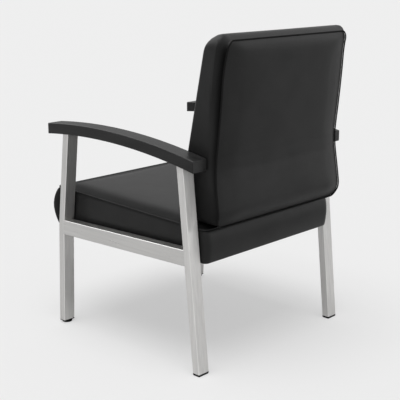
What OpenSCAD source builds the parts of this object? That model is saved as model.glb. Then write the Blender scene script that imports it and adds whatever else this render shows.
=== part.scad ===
// Guest chair with arms: two welded tube side frames carry a boxed seat and a boxed back.
// The front of the chair faces -Y, +Z is up and the floor is at z = 0.
// Lengths along Y are first measured from the foot line, midway between the front and rear feet.

/* [Frame] */
// Width over the outer faces of the legs
frame_w = 636; // [600:1:680]
// Width of a leg tube, side to side
leg_w = 40; // [32:1:46]
// Depth of a leg tube, front to back
leg_d = 24; // [20:1:30]
// Wall thickness of the tubes
tube_wall = 2; // [1.5:0.1:2.5]
// Distance from the foot line to the front face of a front leg at its bend
knee_y = 288; // [270:1:300]
// Height of the bend in the front legs
knee_z = 322; // [300:1:340]
// Distance from the foot line to the rear face of a rear leg at its foot
rear_foot_y = 302; // [290:1:320]
// Lean of a front leg below its bend, in degrees
lower_lean = 2.5; // [0:0.1:5]
// Lean of a front leg above its bend, in degrees
upper_lean = 6.9; // [4:0.1:9]
// Lean of the rear legs, in degrees
rear_lean = 5.9; // [3:0.1:8]
// Width by which a side rail is narrower than a leg
rail_setback = 10; // [6:1:14]
// Height of a side rail
rail_h = 45; // [36:1:50]
// Height of the middle of a side rail at the foot line
rail_z = 322; // [310:1:335]
// Rise of the side rails towards the rear, in degrees
rail_rise = 1.5; // [0:0.1:3]

/* [Armrests] */
// Width of an armrest
arm_w = 52; // [46:1:60]
// Thickness of an armrest
arm_t = 32; // [26:1:40]
// Distance from the foot line to the front end of an armrest
arm_front = 315; // [300:1:330]
// Distance from the foot line to the rear end of an armrest
arm_rear = 286; // [275:1:300]
// Radius of the arch along the top of an armrest
arm_arch_r = 2000; // [1500:10:3000]
// Distance from the foot line forward to the crest of the arch
arm_crest_y = 120; // [80:1:160]
// Height of the crest of the arch
arm_crest_z = 641; // [620:1:680]
// Radius on the upper long edges of an armrest
arm_edge_r = 5; // [2:0.5:8]
// Width of the flat bar under an armrest
arm_bar_w = 30; // [24:1:36]
// Thickness of the flat bar under an armrest
arm_bar_t = 4; // [3:0.5:6]
// Shank diameter of an arm screw
arm_screw_d = 5; // [4:0.5:6]
// Length of an arm screw under its head
arm_screw_l = 20; // [16:1:24]
// Diameter of an arm screw's head
arm_screw_head_d = 9; // [8:0.5:11]
// Height of an arm screw's head
arm_screw_head_h = 2.5; // [2:0.1:3.5]
// Distance from a leg to the nearest arm screw
arm_screw_inset = 60; // [40:1:90]

/* [Feet] */
// Thickness of the flange of a front foot plug
plug_flange_t = 3; // [2:0.5:5]
// Diameter of a round glide pad
glide_d = 31; // [26:1:36]
// Thickness of a round glide pad
glide_t = 6; // [4:0.5:9]
// Chamfer round the lower edge of a glide pad
glide_chamfer = 1.5; // [0.5:0.1:2.5]
// Diameter of the glide stem
stem_d = 8; // [6:0.5:9]
// Length of the glide stem above its pad
stem_l = 24; // [18:1:30]
// Thickness of the flange of a rear foot cap
cap_t = 7; // [4:0.5:10]
// Length of a plug inside its tube
plug_l = 22; // [16:1:30]

/* [Seat] */
// Gap between a side of the seat and a leg
seat_gap = 3.6; // [3.5:0.1:5]
// Distance from the foot line to the seam line at the front of the seat
seat_front = 340; // [320:1:350]
// Distance from the foot line to the seam line at the rear of the seat
seat_rear = 282; // [275:1:290]
// Height of the underside of the seat at the foot line
seat_z = 308; // [300:1:312]
// Rise of the underside of the seat towards the rear, in degrees
seat_rise = 1; // [0:0.1:2]
// Height of the top seam of the seat at the foot line
seat_seam_z = 411; // [405:1:414]
// Fall of the top seam of the seat towards the rear, in degrees
seat_fall = 2; // [1:0.1:3]
// Height of the crown above the seam
seat_crown = 14; // [8:1:16]
// Bulge of the front of the seat
seat_nose = 24; // [10:1:30]
// Bulge of the rear of the seat
seat_heel = 9; // [0:1:12]
// Radius on the upright corners of the seat
seat_corner_r = 14; // [8:1:24]
// Thickness of the upholstery cover
cover_t = 1.5; // [1:0.1:2]
// Thickness of the seat boards
board_t = 20; // [16:1:24]
// Height of the seat boards
board_h = 44; // [38:1:48]
// Thickness of the seat deck
deck_t = 12; // [9:1:15]
// Thickness of the dust cover
dust_t = 0.8; // [0.5:0.1:1.5]
// Leg length of a corner block
block_l = 50; // [35:1:60]
// Height of a corner block
block_h = 32; // [24:1:40]

/* [Back] */
// Gap between a side of the back and an armrest
back_gap = 3; // [1:0.5:5]
// Height of the underside of the back
back_z = 418; // [416:1:425]
// Height of the rear top seam of the back
back_seam_z = 905; // [880:1:930]
// Distance from the foot line to the front edge of the back at its underside
back_foot_y = 178; // [165:1:190]
// Lean of the front of the back, in degrees
back_lean = 12; // [10:0.1:13]
// Distance from the foot line to the waist of the rear panel
back_waist_y = 315; // [311:1:325]
// Sweep of the rear panel behind its waist
back_sweep = 30; // [20:1:36]
// Setback of the front edge at the very top
back_top_round = 13; // [0:1:18]
// Height of the puffed top band above its seam
back_top_puff = 16; // [8:1:20]
// Crown of the front panel
back_crown_front = 22; // [10:1:26]
// Crown of the rear panel
back_crown_rear = 8; // [4:1:12]
// Radius on the top corners of the back
back_top_r = 32; // [20:1:45]
// Radius on the bottom corners of the back
back_bottom_r = 20; // [12:1:30]
// Diameter of the welts
welt_d = 4; // [3:0.5:5]
// Thickness of the plywood in the back
back_board_t = 12; // [9:1:15]
// Distance from a side of the back to the plywood
back_board_margin = 49; // [35:1:70]
// Distance from the top seam of the back down to the plywood
back_board_drop = 53; // [45:1:90]
// Height of the lower edge of the plywood above the underside of the back
back_board_lift = 24; // [20:1:40]
// Distance from the foot line to the rear face of the plywood at its lower edge
back_board_y = 294; // [290:1:297]
// Lean of the plywood, in degrees
back_board_lean = 2; // [1:0.1:3]

/* [Fasteners] */
// Width of a back bracket
bracket_w = 40; // [30:1:50]
// Thickness of a back bracket
bracket_t = 6; // [5:0.5:8]
// Height of a back bracket above the underside of the back
bracket_up = 190; // [150:1:220]
// Distance from a side of the back to the middle of a bracket
bracket_margin = 119; // [100:1:150]
// Distance between the two upper bolts of a bracket
upper_bolt_pitch = 80; // [60:1:100]
// Thread diameter of the bracket bolts and side bolts
bolt_d = 8; // [6:1:8]
// Diameter of a bolt head
bolt_head_d = 14; // [13:0.5:16]
// Height of a bolt head
bolt_head_h = 4; // [3:0.5:5]
// Outer diameter of a side spacer
spacer_d = 20; // [18:1:24]
// Outer diameter of a threaded insert
insert_d = 11; // [10.5:0.5:13]
// Length of a threaded insert in a board
insert_l = 11; // [9:0.5:11]
// Thickness of the flange of a threaded insert in a rail
insert_flange_t = 1; // [0.5:0.1:1.5]
// Outer diameter of a washer
washer_d = 22; // [18:1:26]
// Thickness of a washer
washer_t = 2; // [1.5:0.1:2.5]
// Distance from a corner block to the nearest side bolt
side_bolt_margin = 30; // [20:1:50]
// Side bolts on each side
side_bolts = 3; // [2:1:4]
// Screws in each armrest
arm_screws = 4; // [2:1:6]

/* [Hidden] */

// Clearance between pieces that lie against each other
seat_clear = 0.3;
// Clearance round a bolt, a stem or a screw in its hole
hole_clear = 0.3;
// How far a cutting shape runs past what it cuts
over = 1;
// Size of a block that cuts away everything beyond a plane
reach = 2000;
// Clearance between a foam and the cover round it
foam_clear = 1.4;
// Room round the brackets and their bolt heads in foam and covers
channel_clear = 1;
// Facets of true round holes and shafts
$fn = 48;
// Facets of the long arch of an armrest
arch_fn = 720;

// Sides of the frame: +1 is the sitter's left
left = 1;
right = -1;
leg_x = (frame_w - leg_w) / 2;
front_foot_z = plug_flange_t + glide_t;
rear_foot_z = cap_t;
arm_inner_x = leg_x - arm_w / 2;
arch_z = arm_crest_z - arm_arch_r;
arch_under_r = arm_arch_r - arm_t;

// Seat and back half widths
seat_half_w = frame_w / 2 - leg_w - seat_gap;
back_half_w = arm_inner_x - back_gap;
rail_w = leg_w - rail_setback;
rail_inner_x = frame_w / 2 - rail_w;
back_board_w = 2 * (back_half_w - back_board_margin);
back_board_h = back_seam_z - back_z - back_board_drop - back_board_lift;
seat_mid_y = (seat_rear - seat_front) / 2;
back_h = back_seam_z - back_z;
back_mid_z = (back_seam_z + back_z) / 2;

// Points on each corner arc and on each straight stretch of a cushion outline
corner_steps = 4;
short_steps = 4;
long_steps = 8;

// Rings of a crown from the seam inwards: share of the outline, share of the crown
crown_shares = [[1, 0], [0.97, 0.35], [0.9, 0.62], [0.7, 0.87], [0.35, 0.98]];
// Rings of a boxing band: share of its height or depth
band_shares = [0, 0.25, 0.5, 0.75, 1];
// Rear face of the back: share of its height, share of the sweep behind the waist
rear_shares = [
    [-0.1, -0.1], [0, -0.1], [0.015, 0.2], [0.03, 0.37], [0.066, 0.47], [0.127, 0.33],
    [0.209, 0.17], [0.302, 0.03], [0.384, 0], [0.456, 0.07], [0.559, 0.2], [0.661, 0.33],
    [0.805, 0.5], [0.877, 0.62], [0.928, 0.77], [1, 0.97], [1.1, 1.1]
];
// Sides of a welt, and how far its middle stands off the seam, sideways and upwards
welt_sides = 6;
welt_lean = 60;
welt_out = (welt_d / 2 + seat_clear) * cos(welt_lean);
welt_lift = (welt_d / 2 + seat_clear) * sin(welt_lean);
welt_reach = welt_lift
    + welt_d / 2 * max([for (k = [0:welt_sides - 1]) sin(360 * k / welt_sides)]);
// Height share at which the top of the back's front edge starts to round back
top_round_share = 0.9;
// How sharply a bulge fades away from its face, and the puffed top band from the top
bulge_power = 8;
puff_power = 24;

// Lines and planes of the frame, all measured along Y from the foot line
function front_leg_y(z) = z < knee_z
    ? -knee_y - (knee_z - z) * tan(lower_lean)
    : -knee_y + (z - knee_z) * tan(upper_lean);
function rear_leg_y(z) = rear_foot_y - (z - rear_foot_z) * tan(rear_lean);
function rail_mid_z(y) = rail_z + y * tan(rail_rise);
function seat_bottom(y) = seat_z + y * tan(seat_rise);
function seat_seam(y) = seat_seam_z - y * tan(seat_fall);
function back_share(z) = (z - back_z) / back_h;
function back_rear(z) = back_waist_y + back_sweep * lookup(back_share(z), rear_shares);
function back_round(z) =
    back_top_round * pow(max(0, (back_share(z) - top_round_share) / (1 - top_round_share)), 2);
function back_front(z) = back_foot_y + (z - back_z) * tan(back_lean) + back_round(z);
function arm_under_z(y) = arch_z + sqrt(pow(arch_under_r, 2) - pow(y + arm_crest_y, 2));
function mix(a, b, share) = a + (b - a) * share;
function flat(rings) = [for (ring = rings) for (point = ring) point];
function reversed(rings) = [for (i = [len(rings) - 1:-1:0]) rings[i]];

// Rounded rectangle, counter-clockwise, with points along its straight stretches
function outline(half_w, low, high, low_r, high_r) =
    let (corners = [
        [half_w - high_r, high - high_r, high_r], [high_r - half_w, high - high_r, high_r],
        [low_r - half_w, low + low_r, low_r], [half_w - low_r, low + low_r, low_r]
    ])
    [for (c = [0:3])
        let (
            here = corners[c],
            next = corners[(c + 1) % 4],
            steps = c % 2 == 0 ? short_steps : long_steps,
            turn = 90 * (c + 1),
            arc_end = [here[0] + here[2] * cos(turn), here[1] + here[2] * sin(turn)],
            next_start = [next[0] + next[2] * cos(turn), next[1] + next[2] * sin(turn)]
        )
        for (k = [0:corner_steps + steps - 1])
            k <= corner_steps
                ? let (a = turn - 90 + 90 * k / corner_steps)
                    [here[0] + here[2] * cos(a), here[1] + here[2] * sin(a)]
                : mix(arc_end, next_start, (k - corner_steps) / steps)
    ];

// Closed skin over a list of rings. An open chain is capped at its two tips.
module loft(rings, first_tip, last_tip) {
    n = len(rings[0]);
    m = len(rings);
    ring_points = flat(rings);
    faces = [
        for (j = [0:m - 2]) for (i = [0:n - 1])
            let (a = j * n + i, b = j * n + (i + 1) % n, c = a + n, d = b + n)
            each [[a, b, d], [a, d, c]],
        for (i = [0:n - 1]) [m * n, (i + 1) % n, i],
        for (i = [0:n - 1]) [m * n + 1, (m - 1) * n + i, (m - 1) * n + (i + 1) % n]
    ];
    polyhedron(points = concat(ring_points, [first_tip, last_tip]), faces = faces, convexity = 6);
}

// Closed skin over rings whose last one joins the first again
module hoop(rings) {
    n = len(rings[0]);
    m = len(rings);
    faces = [
        for (j = [0:m - 1]) for (i = [0:n - 1])
            let (
                a = j * n + i,
                b = j * n + (i + 1) % n,
                c = ((j + 1) % m) * n + i,
                d = ((j + 1) % m) * n + (i + 1) % n
            )
            each [[a, b, d], [a, d, c]]
    ];
    polyhedron(points = flat(rings), faces = faces, convexity = 6);
}

// Depth of a cover's inner skin under a crown ring: nothing at the seam, where its two skins meet
function skin_drop(level) = level[0] < 1 ? cover_t : 0;

// Seat outline drawn in by an inset, with its front and rear bulges added at band height v
function seat_outline(inset) =
    outline(seat_half_w - inset, inset - seat_front, seat_rear - inset,
        seat_corner_r - inset, seat_corner_r - inset);
function front_weight(y) = pow(max(0, (seat_mid_y - y) / (seat_mid_y + seat_front)), bulge_power);
function rear_weight(y) = pow(max(0, (y - seat_mid_y) / (seat_rear - seat_mid_y)), bulge_power);
function seat_bulge(y, v) =
    sin(180 * v) * (seat_heel * rear_weight(y) - seat_nose * front_weight(y));
function seat_band_ring(inset, v, floor_lift, roof_drop) =
    [for (p = seat_outline(inset))
        [p[0], p[1] + seat_bulge(p[1], v),
            mix(seat_bottom(p[1]) + floor_lift, seat_seam(p[1]) - roof_drop, v)]];
function seat_crown_ring(inset, level, drop) =
    [for (p = seat_outline(inset))
        let (y = seat_mid_y + (p[1] - seat_mid_y) * level[0])
        [p[0] * level[0], y, seat_seam(y) + seat_crown * level[1] - drop]];
function seat_tip(drop) = [0, seat_mid_y, seat_seam(seat_mid_y) + seat_crown - drop];

// Back outline in the X-Z plane and its surfaces; band depth v runs from rear to front
function back_outline(inset) =
    outline(back_half_w - inset, back_z + inset, back_seam_z - inset,
        back_bottom_r - inset, back_top_r - inset);
function top_weight(z) = pow(max(0, (z - back_mid_z) / (back_seam_z - back_mid_z)), puff_power);
function back_band_ring(inset, v) =
    [for (p = back_outline(inset))
        [p[0], mix(back_rear(p[1]), back_front(p[1]), v),
            p[1] + back_top_puff * sin(180 * v) * top_weight(p[1])]];
function back_crown_ring(inset, level, rear, drop) =
    [for (p = back_outline(inset))
        let (z = back_mid_z + (p[1] - back_mid_z) * level[0])
        [p[0] * level[0],
            rear
                ? back_rear(z) + back_crown_rear * level[1] - drop
                : back_front(z) - back_crown_front * level[1] + drop,
            z]];
function back_tip(rear, drop) =
    [0, rear
        ? back_rear(back_mid_z) + back_crown_rear - drop
        : back_front(back_mid_z) - back_crown_front + drop,
        back_mid_z];

// The whole object is moved along Y so that its box is centred on the origin
seat_nose_y = min([for (v = band_shares) for (p = seat_band_ring(0, v, 0, 0)) p[1]]);
back_rear_y = max([
    for (level = crown_shares) for (p = back_crown_ring(0, level, true, 0))
        level[0] < 1 ? p[1] : p[1] + welt_reach
]);
shift_y = -(seat_nose_y + back_rear_y) / 2;
module placed() {
    translate([0, shift_y, 0]) children();
}

// Side-view outline extruded across X between two planes
module side_prism(points, x_low, x_high) {
    translate([x_low, 0, 0])
        rotate([90, 0, 90]) linear_extrude(height = x_high - x_low) polygon(points);
}

// Outline of a leg between two heights, drawn in by an inset
function front_leg_points(low, high, inset) = [
    [front_leg_y(low) + inset, low],
    [front_leg_y(low) + leg_d - inset, low],
    [front_leg_y(knee_z) + leg_d - inset, knee_z],
    [front_leg_y(high) + leg_d - inset, high],
    [front_leg_y(high) + inset, high],
    [front_leg_y(knee_z) + inset, knee_z]
];
function rear_leg_points(low, high, inset) = [
    [rear_leg_y(low) - leg_d + inset, low],
    [rear_leg_y(low) - inset, low],
    [rear_leg_y(high) - inset, high],
    [rear_leg_y(high) - leg_d + inset, high]
];

// Round solid across X, centred on the arch of the armrests
module arch_disc(r, w, x) {
    translate([x - w / 2, -arm_crest_y, arch_z])
        rotate([0, 90, 0]) cylinder(r = r, h = w, $fn = arch_fn);
}

// Legs: bent or straight tube, cut to the underside of the arm bar
module leg_tube(outer, inner, side) {
    x = side * leg_x;
    placed() intersection() {
        difference() {
            side_prism(outer, x - leg_w / 2, x + leg_w / 2);
            side_prism(inner, x - leg_w / 2 + tube_wall, x + leg_w / 2 - tube_wall);
        }
        arch_disc(arch_under_r - seat_clear, leg_w + 2 * over, x);
    }
}
module front_leg(side) {
    color("silver") leg_tube(front_leg_points(front_foot_z, arm_crest_z, 0),
        front_leg_points(front_foot_z - over, arm_crest_z + over, tube_wall), side);
}
module rear_leg(side) {
    color("silver") leg_tube(rear_leg_points(rear_foot_z, arm_crest_z, 0),
        rear_leg_points(rear_foot_z - over, arm_crest_z + over, tube_wall), side);
}

// Side rail between the legs, with bores for the threaded inserts
module rail_block(inset) {
    length = knee_y + rear_foot_y;
    translate([0, 0, rail_z]) rotate([rail_rise, 0, 0])
        translate([rail_inner_x + inset, -length / 2, inset - rail_h / 2])
        cube([rail_w - 2 * inset, length, rail_h - 2 * inset]);
}
module rail_stock(side) {
    front = front_leg_points(0, arm_crest_z, 0);
    rear = rear_leg_points(0, arm_crest_z, 0);
    difference() {
        mirror([side == left ? 0 : 1, 0, 0]) difference() {
            rail_block(0);
            rail_block(tube_wall);
        }
        side_prism(front, -frame_w, frame_w);
        side_prism(rear, -frame_w, frame_w);
        side_prism(rail_end_points(-1), -frame_w, frame_w);
        side_prism(rail_end_points(1), -frame_w, frame_w);
    }
}
// Everything beyond the middle of a leg, which trims the stock at its two ends
function rail_end_points(end) =
    let (
        near = end < 0 ? front_leg_y(rail_z) + leg_d / 2 : rear_leg_y(rail_z) - leg_d / 2,
        far = end * reach
    )
    [[near, 0], [far, 0], [far, arm_crest_z], [near, arm_crest_z]];
module side_rail(side) {
    color("silver") placed() difference() {
        rail_stock(side);
        side_holes(side, insert_d + 2 * seat_clear, rail_inner_x - over,
            rail_inner_x + tube_wall + over);
    }
}

// Places of the side bolts along the seat
function side_bolt_y(i) =
    let (
        front = board_front_y + board_t + block_l + side_bolt_margin,
        rear = board_rear_y - board_t - block_l - side_bolt_margin
    )
    mix(front, rear, side_bolts > 1 ? i / (side_bolts - 1) : 1);
module at_side_bolts(side, x) {
    for (i = [0:side_bolts - 1])
        translate([side * x, side_bolt_y(i), rail_mid_z(side_bolt_y(i))])
            rotate([0, side * 90, 0]) children();
}
module side_holes(side, d, x_low, x_high) {
    at_side_bolts(side, x_low) cylinder(d = d, h = x_high - x_low);
}
module ring(outer_d, inner_d, h) {
    difference() {
        cylinder(d = outer_d, h = h);
        translate([0, 0, -over]) cylinder(d = inner_d, h = h + 2 * over);
    }
}

// Inner face of a side board, where the washers seat
board_outer_x = seat_half_w - cover_t - seat_clear;
board_inner_x = board_outer_x - board_t;
side_insert_l = insert_l + insert_flange_t;
side_grip = rail_inner_x - board_inner_x + washer_t;
side_bolt_l = side_grip + insert_l;
module bolt(length) {
    translate([0, 0, -bolt_head_h]) cylinder(d = bolt_head_d, h = bolt_head_h);
    cylinder(d = bolt_d, h = length);
}
module both_sides() {
    children();
    mirror([1, 0, 0]) children();
}
module side_bolts() {
    color("dimgray") placed() both_sides()
        at_side_bolts(left, board_inner_x - washer_t) bolt(side_bolt_l);
}
module side_washers() {
    color("gainsboro") placed() both_sides()
        at_side_bolts(left, board_inner_x - washer_t)
            ring(washer_d, bolt_d + 2 * hole_clear, washer_t);
}
spacer_l = rail_inner_x - seat_half_w - insert_flange_t;
module side_spacers() {
    color("gray") placed() both_sides()
        at_side_bolts(left, seat_half_w) ring(spacer_d, bolt_d + 2 * hole_clear, spacer_l);
}
module rail_inserts() {
    flange_d = (insert_d + spacer_d) / 2;
    color("goldenrod") placed() both_sides()
        at_side_bolts(left, rail_inner_x - insert_flange_t) difference() {
            union() {
                cylinder(d = insert_d, h = side_insert_l);
                cylinder(d = flange_d, h = insert_flange_t);
            }
            translate([0, 0, -over])
                cylinder(d = bolt_d + 2 * hole_clear, h = side_insert_l + 2 * over);
        }
}

// Armrest: arched bar with rounded upper edges and a groove for the flat bar under it
module arm_section() {
    low = arch_under_r;
    high = arm_arch_r;
    half = arm_w / 2;
    translate([low, -half]) square([arm_t - arm_edge_r, arm_w]);
    translate([low, arm_edge_r - half]) square([arm_t, arm_w - 2 * arm_edge_r]);
    for (edge = [-1, 1])
        translate([high - arm_edge_r, edge * (half - arm_edge_r)]) circle(r = arm_edge_r);
}
module between_ends(front, rear, x, w) {
    translate([x - w / 2, -front, rail_z]) cube([w, front + rear, arm_crest_z]);
}
module at_arm_screws(side) {
    front = front_leg_y(arm_crest_z) + leg_d + arm_screw_inset;
    rear = rear_leg_y(arm_crest_z) - leg_d - arm_screw_inset;
    for (i = [0:arm_screws - 1]) {
        y = mix(front, rear, arm_screws > 1 ? i / (arm_screws - 1) : 1);
        angle = asin((y + arm_crest_y) / arm_arch_r);
        translate([side * leg_x, -arm_crest_y, arch_z]) rotate([-angle, 0, 0])
            translate([0, 0, arch_under_r]) children();
    }
}
module armrest(side) {
    x = side * leg_x;
    groove_r = arch_under_r + arm_bar_t + seat_clear;
    color([0.1, 0.1, 0.1]) placed() difference() {
        intersection() {
            translate([x, -arm_crest_y, arch_z]) rotate([0, 90, 0])
                rotate_extrude($fn = arch_fn) arm_section();
            between_ends(arm_front, arm_rear, x, arm_w + 2 * over);
        }
        intersection() {
            arch_disc(groove_r, arm_bar_w + 2 * seat_clear, x);
            between_ends(arm_bar_front + seat_clear, arm_bar_rear + seat_clear, x, arm_w);
        }
        at_arm_screws(side)
            cylinder(d = arm_screw_d + 2 * hole_clear, h = arm_screw_l + over);
    }
}

// Flat bar under an armrest, from the front of the front leg to the rear of the rear leg
arm_bar_front = -front_leg_y(arm_under_z(front_leg_y(arm_crest_z)));
arm_bar_rear = rear_leg_y(arm_under_z(rear_leg_y(arm_crest_z)));
module arm_bar(side) {
    x = side * leg_x;
    color("silver") placed() difference() {
        intersection() {
            difference() {
                arch_disc(arch_under_r + arm_bar_t, arm_bar_w, x);
                arch_disc(arch_under_r, arm_bar_w + 2 * over, x);
            }
            between_ends(arm_bar_front, arm_bar_rear, x, arm_bar_w + 2 * over);
        }
        at_arm_screws(side) translate([0, 0, -over])
            cylinder(d = arm_screw_d + 2 * hole_clear, h = arm_bar_t + 2 * over);
    }
}
module arm_screws() {
    color("dimgray") placed() for (side = [left, right]) at_arm_screws(side) {
        translate([0, 0, -arm_screw_head_h]) cylinder(d = arm_screw_head_d, h = arm_screw_head_h);
        cylinder(d = arm_screw_d, h = arm_screw_l);
    }
}

// Feet: plugs and caps that fill the tube ends, and the round levelling glides
stem_hole_d = stem_d + 2 * hole_clear;
plug_inset = tube_wall + seat_clear;
front_foot_y = front_leg_y(front_foot_z) + leg_d / 2;
module foot_flange(y, z, t, side) {
    translate([side * leg_x - leg_w / 2, y - leg_d / 2, z]) cube([leg_w, leg_d, t]);
}
module front_plug(side) {
    x = side * leg_x;
    half = leg_w / 2 - plug_inset;
    color([0.08, 0.08, 0.08]) placed() difference() {
        union() {
            foot_flange(front_foot_y, glide_t, plug_flange_t, side);
            side_prism(front_plug_points(), x - half, x + half);
        }
        translate([x, front_foot_y, 0]) cylinder(d = stem_hole_d, h = stem_l + glide_t + over);
    }
}
function front_plug_points() = [
    [front_leg_y(front_foot_z) + plug_inset, front_foot_z],
    [front_leg_y(front_foot_z) + leg_d - plug_inset, front_foot_z],
    [front_leg_y(front_foot_z + plug_l) + leg_d - plug_inset, front_foot_z + plug_l],
    [front_leg_y(front_foot_z + plug_l) + plug_inset, front_foot_z + plug_l]
];
module front_glide(side) {
    color([0.05, 0.05, 0.05]) placed() translate([side * leg_x, front_foot_y, 0])
        rotate_extrude() polygon([
            [0, 0], [glide_d / 2 - glide_chamfer, 0], [glide_d / 2, glide_chamfer],
            [glide_d / 2, glide_t],
            [stem_d / 2, glide_t], [stem_d / 2, glide_t + stem_l], [0, glide_t + stem_l]
        ]);
}
module rear_cap(side) {
    x = side * leg_x;
    half = leg_w / 2 - plug_inset;
    color([0.08, 0.08, 0.08]) placed() {
        foot_flange(rear_leg_y(rear_foot_z) - leg_d / 2, 0, cap_t, side);
        side_prism(rear_leg_points(rear_foot_z, rear_foot_z + plug_l, plug_inset), x - half, x + half);
    }
}

// Seat box: four boards with corner blocks, a deck on top and a dust cover below
module seat_level(z) {
    translate([0, 0, seat_z]) rotate([seat_rise, 0, 0]) translate([0, 0, z]) children();
}
module rounded_plan(inset, z, h) {
    r = seat_corner_r - inset;
    x = seat_half_w - inset;
    front = -seat_front + inset;
    rear = seat_rear - inset;
    seat_level(z) linear_extrude(height = h) {
        translate([-x, front + r]) square([2 * x, rear - front - 2 * r]);
        translate([r - x, front]) square([2 * x - 2 * r, rear - front]);
        for (cx = [r - x, x - r], cy = [front + r, rear - r]) translate([cx, cy]) circle(r = r);
    }
}
wood_inset = cover_t + seat_clear;
board_front_y = -seat_front + wood_inset;
board_rear_y = seat_rear - wood_inset;
deck_z = dust_t + board_h;
module board_bar(y, depth) {
    intersection() {
        rounded_plan(wood_inset, dust_t, board_h);
        seat_level(0) translate([-seat_half_w, y, 0])
            cube([2 * seat_half_w, depth, dust_t + board_h + over]);
    }
}
module seat_front_board() {
    color("burlywood") placed() board_bar(board_front_y, board_t);
}
module seat_rear_board() {
    color("burlywood") placed() difference() {
        board_bar(board_rear_y - board_t, board_t);
        at_bracket_bolts(false) translate([0, 0, -over]) cylinder(d = insert_d, h = insert_l + over);
    }
}
module seat_side_board(side) {
    low = min(side * board_inner_x, side * board_outer_x);
    color("burlywood") placed() difference() {
        seat_level(dust_t) translate([low, board_front_y + board_t, 0])
            cube([board_t, board_rear_y - board_front_y - 2 * board_t, board_h]);
        side_holes(side, bolt_d + 2 * hole_clear, board_inner_x - over, board_outer_x + over);
    }
}
module seat_corner_blocks() {
    front = board_front_y + board_t;
    rear = board_rear_y - board_t;
    color("peru") placed() seat_level(dust_t) for (side = [left, right]) {
        linear_extrude(height = block_h) polygon([
            [side * board_inner_x, front], [side * board_inner_x, front + block_l],
            [side * (board_inner_x - block_l), front]
        ]);
        linear_extrude(height = block_h) polygon([
            [side * board_inner_x, rear], [side * board_inner_x, rear - block_l],
            [side * (board_inner_x - block_l), rear]
        ]);
    }
}
deck_rear_y = board_rear_y - board_t - bracket_t - bolt_head_h - over;
module seat_deck() {
    color("burlywood") placed() intersection() {
        rounded_plan(wood_inset, deck_z, deck_t);
        seat_level(0) translate([-seat_half_w, -seat_front, 0])
            cube([2 * seat_half_w, seat_front + deck_rear_y, deck_z + deck_t + over]);
    }
}
module seat_dust_cover() {
    color([0.12, 0.12, 0.12]) placed() rounded_plan(wood_inset, 0, dust_t);
}

// Seat foam: on the deck, under the cover, with a channel for each back bracket
foam_inset = cover_t + foam_clear;
module seat_form(inset, roof_drop) {
    crowns = [for (level = reversed(crown_shares)) seat_crown_ring(inset, level, roof_drop)];
    bands = [for (v = reversed(band_shares)) if (v < 1) seat_band_ring(inset, v, 0, 0)];
    tip = [0, seat_mid_y, seat_bottom(seat_mid_y)];
    loft(concat(crowns, bands), seat_tip(roof_drop), tip);
}
module seat_foam() {
    color("lemonchiffon") placed() difference() {
        seat_form(foam_inset, foam_inset);
        seat_level(deck_z + deck_t - reach) translate([-reach / 2, -reach / 2, 0])
            cube(reach);
        bracket_channels();
    }
}
module seat_top_cover() {
    outer = [for (level = reversed(crown_shares)) seat_crown_ring(0, level, 0)];
    inner = [for (level = crown_shares) seat_crown_ring(cover_t, level, skin_drop(level))];
    color([0.13, 0.13, 0.14]) placed() difference() {
        loft(concat(outer, inner), seat_tip(0), seat_tip(cover_t));
        bracket_channels();
    }
}
module seat_boxing() {
    outer = [for (v = reversed(band_shares)) seat_band_ring(0, v, 0, 0)];
    inner = [for (v = band_shares) seat_band_ring(cover_t, v, 0, 0)];
    color([0.13, 0.13, 0.14]) placed() difference() {
        hoop(concat(outer, inner));
        for (side = [left, right])
            side_holes(side, bolt_d + 2 * hole_clear, board_outer_x - over, seat_half_w + over);
    }
}

// Welt: a cord that follows a seam just outside the corner between two covers
function welt_rings(path, side_dirs, lift_dir) =
    [for (k = [0:welt_sides - 1])
        let (c = welt_d / 2 * cos(360 * k / welt_sides), s = welt_d / 2 * sin(360 * k / welt_sides))
        [for (i = [0:len(path) - 1])
            path[i] + side_dirs[i] * (welt_out + c) + lift_dir * (welt_lift + s)]];
function outward(points, a, b) =
    [for (i = [0:len(points) - 1])
        let (
            n = len(points),
            step = points[(i + 1) % n] - points[(i + n - 1) % n],
            length = norm([step[a], step[b]])
        )
        [for (k = [0:2]) k == a ? step[b] / length : k == b ? -step[a] / length : 0]];
module seat_welt() {
    path = seat_band_ring(0, 1, 0, 0);
    color([0.16, 0.16, 0.17]) placed() hoop(reversed(welt_rings(path, outward(path, 0, 1), [0, 0, 1])));
}
module back_welt() {
    path = back_band_ring(0, 0);
    color([0.16, 0.16, 0.17]) placed() hoop(welt_rings(path, outward(path, 0, 2), [0, 1, 0]));
}

// Back brackets: flat bar from the seat's rear board up to the plywood in the back
bracket_low_z = seat_z + dust_t + seat_clear + (seat_bottom(seat_rear) - seat_z);
bracket_seat_y = (board_rear_y - board_t) * cos(seat_rise) - deck_z * sin(seat_rise);
bracket_top_z = back_z + bracket_up;
bend_low_z = seat_bottom(seat_rear) + board_h;
bend_high_z = back_z + back_board_lift - over;
function plywood_front(z) =
    back_board_y - back_board_t / cos(back_board_lean)
        + (z - back_z - back_board_lift) * tan(back_board_lean);
function bracket_points(front_grow, rear_grow) = [
    [bracket_seat_y - bracket_t - front_grow, bracket_low_z],
    [bracket_seat_y + rear_grow, bracket_low_z],
    [bracket_seat_y + rear_grow, bend_low_z],
    [plywood_front(bend_high_z) + rear_grow, bend_high_z],
    [plywood_front(bracket_top_z) + rear_grow, bracket_top_z],
    [plywood_front(bracket_top_z) - bracket_t - front_grow, bracket_top_z],
    [plywood_front(bend_high_z) - bracket_t - front_grow, bend_high_z],
    [bracket_seat_y - bracket_t - front_grow, bend_low_z]
];
function bracket_x(side) = side * (back_half_w - bracket_margin);
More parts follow.
